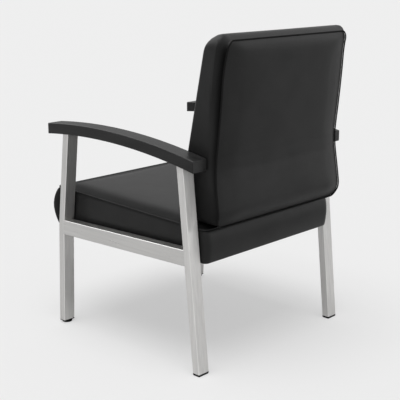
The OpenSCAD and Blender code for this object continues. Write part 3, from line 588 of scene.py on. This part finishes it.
def dust_cloth():
    """Thin closed cloth under the seat: a folded hem round its rim, flat where the staples hold
    it, a step in to a single layer, and a sag towards the middle with crossed sine ripples."""
    rows = ((0, DUST_T), (0, 0.2), (0.5, 0), (DUST_HEM - 1, 0), (DUST_HEM, DUST_T / 2))
    ring = [seat_outline(DUST_SIDE + inset, DUST_FRONT + inset, SEAT_CORNER - inset / 2,
                         DUST_ACROSS, DUST_UP) for inset, lift in rows]
    rim = np.stack([np.column_stack([flat, dust_cloth_low(flat[:, 1]) + lift])
                    for flat, (inset, lift) in zip(ring, rows)])
    plan = cushion_patch(ring[-1], DUST_ACROSS, DUST_UP)
    x, y = plan[..., 0], plan[..., 1]
    side = SEAT_HALF_W - (DUST_SIDE + DUST_HEM) - np.abs(x)
    end = np.minimum(y - SEAT_FRONT - (DUST_FRONT + DUST_HEM),
                     SEAT_REAR - (DUST_SIDE + DUST_HEM) - y)
    ripple = 0.35 * np.sin(x / 21 + 1.2 * np.sin(y / 57)) + 0.3 * np.sin(y / 26 + x / 83)
    slack = bow(side / DUST_SAG_REACH) * bow(end / DUST_SAG_REACH)
    sag = dust_cloth_low(y) + DUST_T / 2 - slack * (DUST_SAG + ripple)
    cover = cushion_patch(ring[0], DUST_ACROSS, DUST_UP)
    lid = np.dstack([cover, dust_cloth_low(cover[..., 1]) + DUST_T])
    return skin(rim, np.dstack([plan, sag]), lid)


def staples():
    """Staples round the dust cloth's hem, all in one mesh: each a six sided wire along the hem
    whose ends turn up into the wood."""
    wire_r, below, side, front, corner = 0.4, 0.15, DUST_SIDE + 6, DUST_FRONT + 7, 8
    ring = seat_outline(side, front, corner, 13, 15)
    path = np.column_stack([ring, dust_cloth_low(ring[:, 1]) - below])
    across = seam_out(path, 0, 1)
    along = np.cross(across, UPWARD)
    reach, rise = np.array([-5.0, -4.8, 4.8, 5.0]), np.array([1.2, 0.0, 0.0, 1.2])
    turn = np.radians(np.arange(0, 360, 60))[:, None]
    centre = path[:, None] + along[:, None] * reach[:, None] + rise[:, None] * UPWARD
    round_x = wire_r * np.cos(turn) * across[:, None, None]
    round_z = wire_r * np.sin(turn) * UPWARD
    wires = centre[:, :, None] + round_x + round_z
    return joined(*(loft(wire) for wire in wires))


def back_boxing():
    """Rows of the back's boxing from its rear seam to its front panel. Beside the seam it drops
    into a valley, then its top puffs up in a sine and its sides, above the armrests, in a slope.
    Its lower corners hang, and its front edge is a quarter circle."""
    by_seam = np.array([0, 0.8, 2, 3.5, 5.5, 8, 11, 14.5, 18.5, 23, 28])
    over_depth = np.array([0.12, 0.26, 0.41, 0.56, 0.7, 0.82, 0.92, 1])
    round_edge = np.radians([15, 30, 45, 60, 75, 88])
    past = by_seam[-1]
    stations = ([(by, 0.0, 0.0) for by in by_seam] + [(past, share, 0.0) for share in over_depth]
                + [(past, 1.0, angle) for angle in round_edge])
    valley, valley_at, valley_out = 6.5, 5.5, 13
    draw_until, side_from, side_puff, side_low_z, side_fade = 0.28, 0.24, 9, 645, 120
    hang_by, corner_hang, corner_x, corner_w, corner_h = 14, 4, 225, 35, 45
    rows = []
    for back_by, share, angle in stations:
        round_in = BACK_EDGE * (1 - math.cos(angle))
        dip = valley * (smooth(back_by / valley_at) - smooth((back_by - valley_at) / valley_out))
        low = BACK_Z + round_in - BACK_HANG * (1 - smooth(back_by / hang_by))
        top_r = SEAM_R + (BACK_FRONT_R - SEAM_R) * smooth(back_by / past * 0.4 + share * 0.6)
        ring = cushion_ring(BACK_HALF_W - round_in, low, BACK_SEAM_Z - round_in,
                            BACK_BOTTOM_R, top_r - round_in, BACK_ACROSS, BACK_UP)
        out = seam_out(np.column_stack([ring[:, 0], np.zeros(len(ring)), ring[:, 1]]), 0, 2)
        z = ring[:, 1]
        depth = back_rear(z) - back_front(z) + BACK_EDGE_AHEAD - BACK_EDGE
        y = back_rear(z) - back_by - share * (depth - back_by) - BACK_EDGE * math.sin(angle)
        gone = (back_rear(z) - y) / (depth + BACK_EDGE)
        draw = seam_draw(z) * (1 - smooth(gone / draw_until)) * np.abs(out[:, 0])
        over_top = np.sin(np.pi * np.clip(gone, 0, 1) ** 0.8)
        beside = np.clip(1 - gone, 0, 1) / (1 - side_from) * smooth(gone / side_from)
        puff = (BACK_TOP_PUFF * over_top * np.clip(out[:, 2], 0, 1) ** 2
                + side_puff * beside * np.abs(out[:, 0]) * smooth((z - side_low_z) / side_fade))
        under = 0.5 * (out[:, 2] < -0.5)
        push = puff - draw - dip * (1 - under)
        hang = corner_hang * smooth((np.abs(ring[:, 0]) - corner_x) / corner_w)
        hang = hang * (1 - smooth((z - BACK_Z) / corner_h))
        hang = hang * smooth(back_by / hang_by) * (1 - smooth((share - 0.35) / 0.45))
        rows.append(points_of(ring[:, 0] + push * out[:, 0], y, z + push * out[:, 2] - hang))
    return np.array(rows)


def back_shape():
    """Closed back cushion: its boxing, an S-curved rear panel that bows out from its seams, and
    a crowned front panel."""
    boxing = back_boxing()
    rear_plan = cushion_patch(boxing[0][:, [0, 2]], BACK_ACROSS, BACK_UP)
    x, z = rear_plan[..., 0], rear_plan[..., 1]
    side = BACK_HALF_W - seam_draw(z) - np.abs(x)
    end = np.minimum(z - BACK_Z + BACK_HANG, BACK_SEAM_Z - z)
    rear = points_of(x, swollen(back_rear(z), side, end, BACK_REAR_SWELLS), z)

    front_plan = cushion_patch(boxing[-1][:, [0, 2]], BACK_ACROSS, BACK_UP)
    x, z = front_plan[..., 0], front_plan[..., 1]
    edge = cushion_patch(boxing[-1][:, [1, 1]], BACK_ACROSS, BACK_UP)[..., 0]
    side = BACK_HALF_W - BACK_EDGE - np.abs(x)
    end = np.minimum(z - BACK_Z - BACK_EDGE, BACK_SEAM_Z - BACK_EDGE - z)
    return skin(boxing, rear, points_of(x, swollen(edge, side, end, BACK_FRONT_SWELLS), z))


def seat_reach(place):
    """How far each point of the seat may swell: the top away from its seam and from under the
    back, a little on the nose and the rear, none at the sides and the underside."""
    top_far, end_far, fade, back_y = 4, 3, 60, 170
    x, y, z = place.T
    over = z - seat_seam(y)
    inside = np.minimum(*seat_inside(x, y))
    top = np.clip((inside - 4) / fade, 0, 1) * (over > 0.5) * np.clip((back_y - y) / fade, 0, 1)
    height = np.clip((z - seat_bottom(y)) / (seat_seam(y) - seat_bottom(y)), 0, 1)
    wall = np.sin(np.pi * height) * (over < 0.1) * (height > 0.02)
    ends = np.clip((-305 - y) / 20, 0, 1) * end_far + np.clip((y - 275) / 6, 0, 1) * end_far
    return top_far * top + ends * wall


def back_reach(place):
    """How far each point of the back may swell: both panels away from their seams and above the
    seat, a little on the top band, none at the sides beside the armrests."""
    panel_far, top_far, rim, fade, top_z = 4, 3, 12, 70, 900
    x, y, z = place.T
    inside = np.minimum(BACK_HALF_W - np.abs(x), np.minimum(z - BACK_Z, BACK_SEAM_Z - z))
    panel = np.clip((inside - rim) / fade, 0, 1)
    top = np.clip((z - top_z) / 10, 0, 1)
    return panel_far * panel + top_far * top * (panel == 0)


def welt(path, outward, lift):
    """Piping cord along a closed seam: a small circle carried round it, set out from the seam
    along outward and lifted off the panel along lift."""
    turn = np.radians(np.arange(0, 360, 30))[:, None]
    centre = path + outward * WELT_OUT + lift * WELT_LIFT
    return centre[:, None] + WELT_R * (np.cos(turn) * outward[:, None] + np.sin(turn) * lift)


def seat_welt():
    """Piping on the seat's top seam."""
    ring = seat_outline(0, 0, SEAT_CORNER, 160, 180)
    path = np.column_stack([ring, seat_seam(ring[:, 1])])
    return welt(path, seam_out(path, 0, 1), UPWARD)


def back_welt():
    """Piping on the back's rear seam."""
    ring = cushion_ring(BACK_HALF_W, BACK_Z - BACK_HANG, BACK_SEAM_Z, BACK_BOTTOM_R, SEAM_R,
                        160, 150)
    path = np.column_stack([ring[:, 0], back_rear(ring[:, 1]), ring[:, 1]])
    out = seam_out(path, 0, 2)
    path = path - (seam_draw(path[:, 2]) * np.abs(out[:, 0]))[:, None] * out
    return welt(path, out, REARWARD)


def settle(made, reach):
    """Fills a closed cushion with air in a short cloth run without gravity. A point may move as
    far as reach gives for its place, in millimetres, by a soft limit: the way it went times
    reach / (reach + way). Points with no reach are pinned, and the result becomes the mesh."""
    mesh = made.data
    rest = read_points(mesh, "co")
    limit = reach(rest / MM - (0, SHIFT, 0)) * MM
    pins = made.vertex_groups.new(name="seams")
    held = np.flatnonzero(limit < 0.2 * MM)
    pins.add(held.tolist(), 1.0, "REPLACE")
    cloth = made.modifiers.new("air", "CLOTH")
    for setting, value in AIR.items():
        setattr(cloth.settings, setting, value)
    cloth.settings.vertex_group_mass = "seams"
    cloth.settings.effector_weights.gravity = 0.0
    cloth.collision_settings.use_collision = False
    scene = bpy.context.scene
    for number in range(1, AIR_FRAMES + 1):
        scene.frame_set(number)
    blown = made.evaluated_get(bpy.context.evaluated_depsgraph_get()).data
    way = read_points(blown, "co") - rest
    far = np.linalg.norm(way, axis=1)[:, None]
    cap = limit[:, None]
    mesh.vertices.foreach_set("co", (rest + way * cap / (cap + far + 1e-9)).ravel())
    made.modifiers.remove(cloth)
    made.vertex_groups.remove(pins)
    scene.frame_set(1)
    mesh.update()


# Materials

def tree_of(name, rough, metallic=0.0):
    """New material with its Principled shader, its node tree and that shader."""
    material = bpy.data.materials.new(name)
    material.use_nodes = True
    shader = material.node_tree.nodes["Principled BSDF"]
    shader.inputs["Roughness"].default_value = rough
    shader.inputs["Metallic"].default_value = metallic
    return material, material.node_tree, shader


def new_group(name, inputs, outputs):
    """Shader node group with float or vector sockets, and its input and output nodes."""
    tree = bpy.data.node_groups.new(name, "ShaderNodeTree")
    for label, kind in inputs:
        tree.interface.new_socket(label, in_out="INPUT", socket_type=kind)
    for label, kind in outputs:
        tree.interface.new_socket(label, in_out="OUTPUT", socket_type=kind)
    return tree, tree.nodes.new("NodeGroupInput"), tree.nodes.new("NodeGroupOutput")


def add(tree, kind, settings=None, **inputs):
    """Node with its settings and input values, by number (i0) or by name. A value that is a
    socket is linked."""
    node = tree.nodes.new(kind)
    for key, value in (settings or {}).items():
        setattr(node, key, value)
    for key, value in inputs.items():
        socket = node.inputs[int(key[1:]) if key[1:].isdigit() else key.replace("_", " ")]
        if isinstance(value, bpy.types.NodeSocket):
            tree.links.new(value, socket)
        else:
            socket.default_value = value
    return node


def times_plus(tree, value, factor, more):
    """A value times a factor, plus more."""
    return add(tree, "ShaderNodeMath", {"operation": "MULTIPLY_ADD"}, i0=value, i1=factor,
               i2=more).outputs[0]


def mixed(tree, share, low, high):
    """Number that goes from low to high by a share."""
    return add(tree, "ShaderNodeMix", {"data_type": "FLOAT"}, i0=share, i2=low,
               i3=high).outputs[0]


FLOAT, VECTOR = "NodeSocketFloat", "NodeSocketVector"


def grain_group():
    """Pebble grain of coated fabric: cells of a warped Voronoi pattern with finer creases, and a
    slow mottle over the piece."""
    tree, start, end = new_group("pebble_grain", [("Vector", VECTOR), ("Cells", FLOAT)],
                                 [("Height", FLOAT), ("Mottle", FLOAT)])
    place = start.outputs["Vector"]
    warp = add(tree, "ShaderNodeTexNoise", Vector=place, Scale=260.0, Detail=2.0)
    shift = add(tree, "ShaderNodeVectorMath", {"operation": "MULTIPLY_ADD"},
                i0=warp.outputs["Color"], i1=(0.0011, 0.0011, 0.0011), i2=place)
    cells = add(tree, "ShaderNodeTexVoronoi", {"feature": "SMOOTH_F1"},
                Vector=shift.outputs[0], Scale=start.outputs["Cells"], Smoothness=0.35)
    crease = add(tree, "ShaderNodeTexNoise", Vector=place, Scale=900.0, Detail=3.0, Roughness=0.6)
    mottle = add(tree, "ShaderNodeTexNoise", Vector=place, Scale=9.0, Detail=4.0, Roughness=0.55)
    height = times_plus(tree, crease.outputs["Fac"], 0.35, cells.outputs["Distance"])
    tree.links.new(height, end.inputs["Height"])
    tree.links.new(mottle.outputs["Fac"], end.inputs["Mottle"])
    return tree


def brush_group():
    """Brushed metal: noise drawn out long along one axis, and a slow smear over the piece."""
    tree, start, end = new_group("brushed_streaks", [("Vector", VECTOR)],
                                 [("Streak", FLOAT), ("Smear", FLOAT)])
    place = start.outputs["Vector"]
    fine = add(tree, "ShaderNodeTexNoise", Vector=place, Scale=420.0, Detail=3.0).outputs["Fac"]
    slow = add(tree, "ShaderNodeTexNoise", Vector=place, Scale=150.0, Detail=4.0).outputs["Fac"]
    tree.links.new(fine, end.inputs["Streak"])
    tree.links.new(mixed(tree, 0.3, slow, fine), end.inputs["Smear"])
    return tree


GRAIN = grain_group()
BRUSH = brush_group()


# Values of a noise pattern mostly lie between these. Depths of a full bump are in metres
NOISE_LOW, NOISE_HIGH = 0.3, 0.7
GRAIN_DEPTH, STREAK_DEPTH = 0.0004, 0.0002


def between(tree, share, low, high):
    """Colour that runs from low to high as share goes over its middle range."""
    ramp = add(tree, "ShaderNodeValToRGB", Fac=share)
    for end, place, colour in ((0, NOISE_LOW, low), (1, NOISE_HIGH, high)):
        ramp.color_ramp.elements[end].position = place
        ramp.color_ramp.elements[end].color = (*colour, 1)
    return ramp.outputs["Color"]


def ranged(tree, share, low, high):
    """Number that runs from low to high as share goes over its middle range."""
    return add(tree, "ShaderNodeMapRange", Value=share, From_Min=NOISE_LOW, From_Max=NOISE_HIGH,
               To_Min=low, To_Max=high).outputs["Result"]


def drawn_out(tree, stretch):
    """The piece's own coordinates, drawn out by stretch."""
    place = tree.nodes.new("ShaderNodeTexCoord").outputs["Object"]
    drawn = add(tree, "ShaderNodeMapping", Vector=place)
    drawn.inputs["Scale"].default_value = stretch
    return drawn.outputs[0]


def painted_light_share(tree):
    """The stored closeness to a seam or an edge, where shade or a highlight is painted, zero on a
    piece that has none.
    """
    return add(tree, "ShaderNodeAttribute", {"attribute_name": "edge"}).outputs["Fac"]


def bumped(tree, shader, height, strength, depth):
    """Bumps the shader by a pattern's height."""
    bump = add(tree, "ShaderNodeBump", Height=height, Strength=strength, Distance=depth)
    tree.links.new(bump.outputs["Normal"], shader.inputs["Normal"])


def coated(name, dark, light, rough, cells, bump, shine=0.5, painted_light_factor=0.2, edge_rough=0.35,
           stretch=(1, 1, 1)):
    """Coated fabric or skin: mottled base colour and roughness over a pebble grain, which can be
    drawn out by stretch. Where the stored mask is high the colour is scaled by a factor and
    roughness steps: a cover gets painted shade beside its seams and is duller there, an arm gets a
    painted highlight along its edges and is smoother there."""
    material, tree, shader = tree_of(name, rough[0])
    grain = add(tree, "ShaderNodeGroup", {"node_tree": GRAIN}, Vector=drawn_out(tree, stretch),
                Cells=cells)
    edge = painted_light_share(tree)
    # Painted shade or highlight: the colour mixes toward the dark colour times the factor where the
    # mask is high
    tone_with_painted_light = add(tree, "ShaderNodeMix", {"data_type": "RGBA"}, i0=edge,
               i6=between(tree, grain.outputs["Mottle"], dark, light),
               i7=(*(value * painted_light_factor for value in dark), 1))
    dull = times_plus(tree, edge, edge_rough, ranged(tree, grain.outputs["Mottle"], *rough))
    tree.links.new(tone_with_painted_light.outputs[2], shader.inputs["Base Color"])
    tree.links.new(dull, shader.inputs["Roughness"])
    bumped(tree, shader, grain.outputs["Height"], bump, GRAIN_DEPTH)
    shader.inputs["Specular IOR Level"].default_value = shine
    return material


def brushed(name, dark, light, rough, stretch, bump, metallic=1.0, spread_across=0.0,
            painted_light_factor=1.4):
    """Brushed or plated metal: streaks drawn out by stretch in colour, roughness and bump. On
    rounded edges the colour is scaled by a factor: above 1 a painted highlight, below 1 painted
    shade."""
    material, tree, shader = tree_of(name, rough[0], metallic)
    shader.inputs["Anisotropic"].default_value = spread_across
    streak = add(tree, "ShaderNodeGroup", {"node_tree": BRUSH}, Vector=drawn_out(tree, stretch))
    # Painted highlight or shade on the edges: the light colour scaled by the factor
    painted_edge_colour = (*(min(1.0, value * painted_light_factor) for value in light), 1)
    colour = add(tree, "ShaderNodeMix", {"data_type": "RGBA"}, i0=painted_light_share(tree),
                 i6=between(tree, streak.outputs["Smear"], dark, light), i7=painted_edge_colour)
    rough_now = ranged(tree, streak.outputs["Streak"], *rough)
    tree.links.new(colour.outputs[2], shader.inputs["Base Color"])
    tree.links.new(rough_now, shader.inputs["Roughness"])
    bumped(tree, shader, streak.outputs["Streak"], bump, STREAK_DEPTH)
    return material


def grey(value):
    """The same value for red, green and blue."""
    return (value,) * 3


# One satin silver finish in three copies that paint light and shade: the front legs' and lying
# tubes' copies are darker, painted shade, the rear legs' copy is lighter, painted light, and their
# metallic, roughness and spread differ too. On tube edges the front and rear copies paint a
# highlight, the lying copy paints shade
SHADED_FRONT_METAL = brushed("satin_silver_front_shaded", (0.502, 0.497, 0.487), (0.614, 0.607, 0.595),
                      (0.38, 0.48), (1, 1, 0.03), 0.25, metallic=0.96, spread_across=0.4)
LIT_REAR_METAL = brushed("satin_silver_rear_lit", (0.58, 0.573, 0.564), (0.70, 0.692, 0.679),
                     (0.48, 0.58), (1, 1, 0.03), 0.25, metallic=0.38, spread_across=0.7,
                     painted_light_factor=1.25)
SHADED_LYING_METAL = brushed("satin_silver_lying_shaded", (0.49, 0.485, 0.475), (0.57, 0.564, 0.553),
                      (0.27, 0.36), (1, 0.03, 1), 0.25, metallic=0.94, painted_light_factor=0.8)
PLATED = brushed("zinc_plate", grey(0.45), grey(0.55), (0.25, 0.4), (1, 1, 1), 0.2)
BRASS = brushed("brass", (0.62, 0.44, 0.18), (0.72, 0.53, 0.25), (0.28, 0.4), (1, 1, 1), 0.2)
# The cover's colour falls to a fifth where the seat and back masks are high: painted shade
COVER = coated("black_coated_fabric", grey(0.012), grey(0.018), (0.29, 0.37), 900.0, 0.4,
               shine=0.12)
PIPING = coated("black_piping", grey(0.010), grey(0.015), (0.48, 0.58), 900.0, 0.4, shine=0.12)
DULL_PIPING = coated("dull_black_piping", grey(0.009), grey(0.014), (0.7, 0.8), 900.0, 0.4,
                     shine=0.03)
# The arm's edges get colour four times lighter: a painted highlight
ARM_SKIN = coated("black_arm_skin", grey(0.010), grey(0.018), (0.32, 0.43), 150.0, 0.35,
                  shine=0.18, painted_light_factor=4.0, edge_rough=-0.1, stretch=(4, 0.5, 4))
NYLON = coated("black_nylon", grey(0.003), grey(0.006), (0.45, 0.58), 1800.0, 0.25, shine=0.12)
DUST = coated("black_dust_cloth", grey(0.02), grey(0.035), (0.8, 0.92), 1500.0, 0.7)
PLY = brushed("birch_plywood", (0.50, 0.34, 0.19), (0.62, 0.46, 0.28), (0.55, 0.7),
              (1, 0.06, 1), 0.3, metallic=0.0)


# Pieces

def cushion(name, shape, closeness, reach, nodes):
    """A closed shape as a cushion: each point marked with its closeness to a seam, then filled
    with air and covered."""
    made = make_mesh(name, shape)
    store_painted_light_mask(made, closeness(read_points(made.data, "co") / MM - (0, SHIFT, 0)))
    settle(made, reach)
    fit(made, COVER, nodes)


at_knee = (np.array(KNEE_STATIONS) - FRONT_FOOT_Z) / (LEG_TOP_Z - FRONT_FOOT_Z)
front_shares = np.unique(np.concatenate([np.linspace(0, 1, 13), at_knee]))
rear_shares = np.linspace(0, 1, 9)
for label, mirror in (("left", 1), ("right", -1)):
    over_leg = (mirror * LEG_X, 0, 0)
    front = leg(front_leg_middle, FRONT_FOOT_Z, front_shares) + over_leg
    rear = leg(rear_leg_middle, CAP_T, rear_shares) + over_leg
    across = rail() + (mirror * RAIL_X, 0, 0)
    for part, rings, along, metal in (("front_leg", front, ALONG_Z, SHADED_FRONT_METAL),
                                      ("rear_leg", rear, ALONG_Z, LIT_REAR_METAL),
                                      ("side_rail", across, ALONG_Y, SHADED_LYING_METAL)):
        fit(mark_tube(make_mesh(part + "_tube_" + label, loft(rings)), along),
            metal, [part + "_" + label])
    # The arm pad's end faces take half of that painted highlight, as painted light
    fit(mark_tube(make_mesh("arm_pad_" + label, loft(armrest() + over_leg)), ALONG_Y, end=0.5),
        ARM_SKIN, ["armrest_" + label])
    fit(make_mesh("front_foot_plug_" + label, hoop(front_plug() + over_leg)),
        NYLON, ["front_plug_" + label])
    fit(make_mesh("front_foot_glide_" + label, loft(front_glide() + over_leg)),
        NYLON, ["front_glide_" + label], body="front_glide_" + label)
    fit(make_mesh("rear_foot_cap_" + label, loft(rear_cap() + over_leg)),
        NYLON, ["rear_cap_" + label])

fit(make_mesh("under_seat_cloth", dust_cloth()), DUST, ["seat_dust_cover"])
fit(make_mesh("under_seat_staples", staples()), PLATED)
cushion("seat_cushion", seat_shape(), seat_painted_shade, seat_reach,
        ["seat_foam", "seat_top_cover", "seat_boxing"])
cushion("back_cushion", back_shape(), back_painted_shade, back_reach,
        ["back_foam", "back_rear_pad", "back_front_cover", "back_rear_cover", "back_boxing"])
fit(make_mesh("seat_piping", hoop(seat_welt())), PIPING, ["seat_welt"])
fit(make_mesh("back_piping", hoop(back_welt())), DULL_PIPING, ["back_welt"])

# Finishes of the CAD nodes that show as they are, by a word in the node's name
FINISHES = {"dust": DUST, "insert": BRASS, "board": PLY, "deck": PLY, "block": PLY,
            "arm_bar": SHADED_LYING_METAL, "bracket_l": SHADED_LYING_METAL, "bracket_r": SHADED_LYING_METAL}
for node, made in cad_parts.items():
    finish = next((FINISHES[word] for word in FINISHES if word in node), PLATED)
    made.data.materials.clear()
    made.data.materials.append(finish)


# Floor, light and camera

PALE, SKY_LEVEL, FLOOR_HALF = 0.863, 0.42, 60.0
# Directions in which reflections find the room darker, opposite the camera, and brighter, behind
# the chair's right side and high ahead of it
OPPOSITE, BEHIND, AHEAD = (-0.70, -0.66, 0.28), (-0.70, 0.70, 0.12), (0.24, -0.68, 0.69)


def pale_floor():
    """Pale floor far past the view, which keeps the shadow. To the camera and to reflections a
    share of it is an even pale tone."""
    mesh = bpy.data.meshes.new("floor")
    corners = [(x * FLOOR_HALF, y * FLOOR_HALF, 0) for x, y in ((-1, -1), (1, -1), (1, 1), (-1, 1))]
    mesh.from_pydata(corners, [], [(0, 1, 2, 3)])
    floor = placed("floor", mesh)
    material, tree, shader = tree_of("pale_floor", 0.9)
    shader.inputs["Base Color"].default_value = (*grey(0.8), 1)
    shader.inputs["Specular IOR Level"].default_value = 0.0
    pale = add(tree, "ShaderNodeEmission", Color=(*grey(PALE), 1), Strength=1.0)
    path = tree.nodes.new("ShaderNodeLightPath")
    seen = add(tree, "ShaderNodeMath", {"operation": "MULTIPLY"},
               i0=path.outputs["Is Camera Ray"], i1=0.55)
    share = times_plus(tree, path.outputs["Is Glossy Ray"], 0.15, seen.outputs[0])
    both = add(tree, "ShaderNodeMixShader", i0=share, i1=shader.outputs[0], i2=pale.outputs[0])
    tree.links.new(both.outputs[0], tree.nodes["Material Output"].inputs["Surface"])
    mesh.materials.append(material)


def eased(tree, value, start, end, low, high):
    """Number that eases from low to high as value goes from start to end."""
    return add(tree, "ShaderNodeMapRange", {"interpolation_type": "SMOOTHSTEP"}, Value=value,
               From_Min=start, From_Max=end, To_Min=low, To_Max=high).outputs["Result"]


def toward(tree, aim, direction):
    """Cosine of the angle between where a ray goes and a direction."""
    return add(tree, "ShaderNodeVectorMath", {"operation": "DOT_PRODUCT"}, i0=aim,
               i1=direction).outputs["Value"]


def studio_sky():
    """Even sky. The camera sees it pale, and reflections see a horizon that brightens upward,
    with the darker and brighter directions."""
    world = bpy.data.worlds.new("studio")
    world.use_nodes = True
    tree = world.node_tree
    sky = tree.nodes["Background"]
    path = tree.nodes.new("ShaderNodeLightPath")
    seen = add(tree, "ShaderNodeMath", {"operation": "MAXIMUM"},
               i0=path.outputs["Is Camera Ray"], i1=path.outputs["Is Glossy Ray"])
    sky.inputs["Color"].default_value = (1, 1, 1, 1)
    aim = tree.nodes.new("ShaderNodeTexCoord").outputs["Generated"]
    height = add(tree, "ShaderNodeSeparateXYZ", Vector=aim)
    above = eased(tree, height.outputs["Z"], 0.1, 0.65, 0.55, 1.9)
    dim = eased(tree, toward(tree, aim, OPPOSITE), 0.55, 0.95, 1.0, 0.6)
    glow = eased(tree, toward(tree, aim, BEHIND), 0.7, 0.96, 0.0, 1.6)
    key = eased(tree, toward(tree, aim, AHEAD), 0.8, 0.97, 0.0, 1.7)
    soft = add(tree, "ShaderNodeMath", {"operation": "ADD"}, i0=glow, i1=key)
    around = times_plus(tree, above, dim, soft.outputs[0])
    mirror = mixed(tree, path.outputs["Is Glossy Ray"], PALE, around)
    tree.links.new(mixed(tree, seen.outputs[0], SKY_LEVEL, mirror), sky.inputs["Strength"])
    bpy.context.scene.world = world


def overhead_lamp():
    """One broad lamp, high and a little to the chair's left."""
    lamp = bpy.data.lights.new("overhead", "SUN")
    lamp.energy = 2.1
    lamp.angle = math.radians(46)
    placed("overhead", lamp).rotation_euler = (math.radians(-3), math.radians(13), 0)


def photograph_camera():
    """Camera at the photograph's place and angle, behind the chair and to its left."""
    lens = bpy.data.cameras.new("photograph")
    lens.sensor_width = 36
    lens.lens = 83.88
    lens.clip_end = 200
    camera = placed("photograph", lens)
    camera.location = (2.016, 1.920, 1.093)
    camera.rotation_euler = Vector((-0.7042, -0.6661, -0.2458)).to_track_quat("-Z", "Y").to_euler()
    bpy.context.scene.camera = camera


pale_floor()
studio_sky()
overhead_lamp()
photograph_camera()
bpy.context.scene.view_settings.view_transform = "Standard"
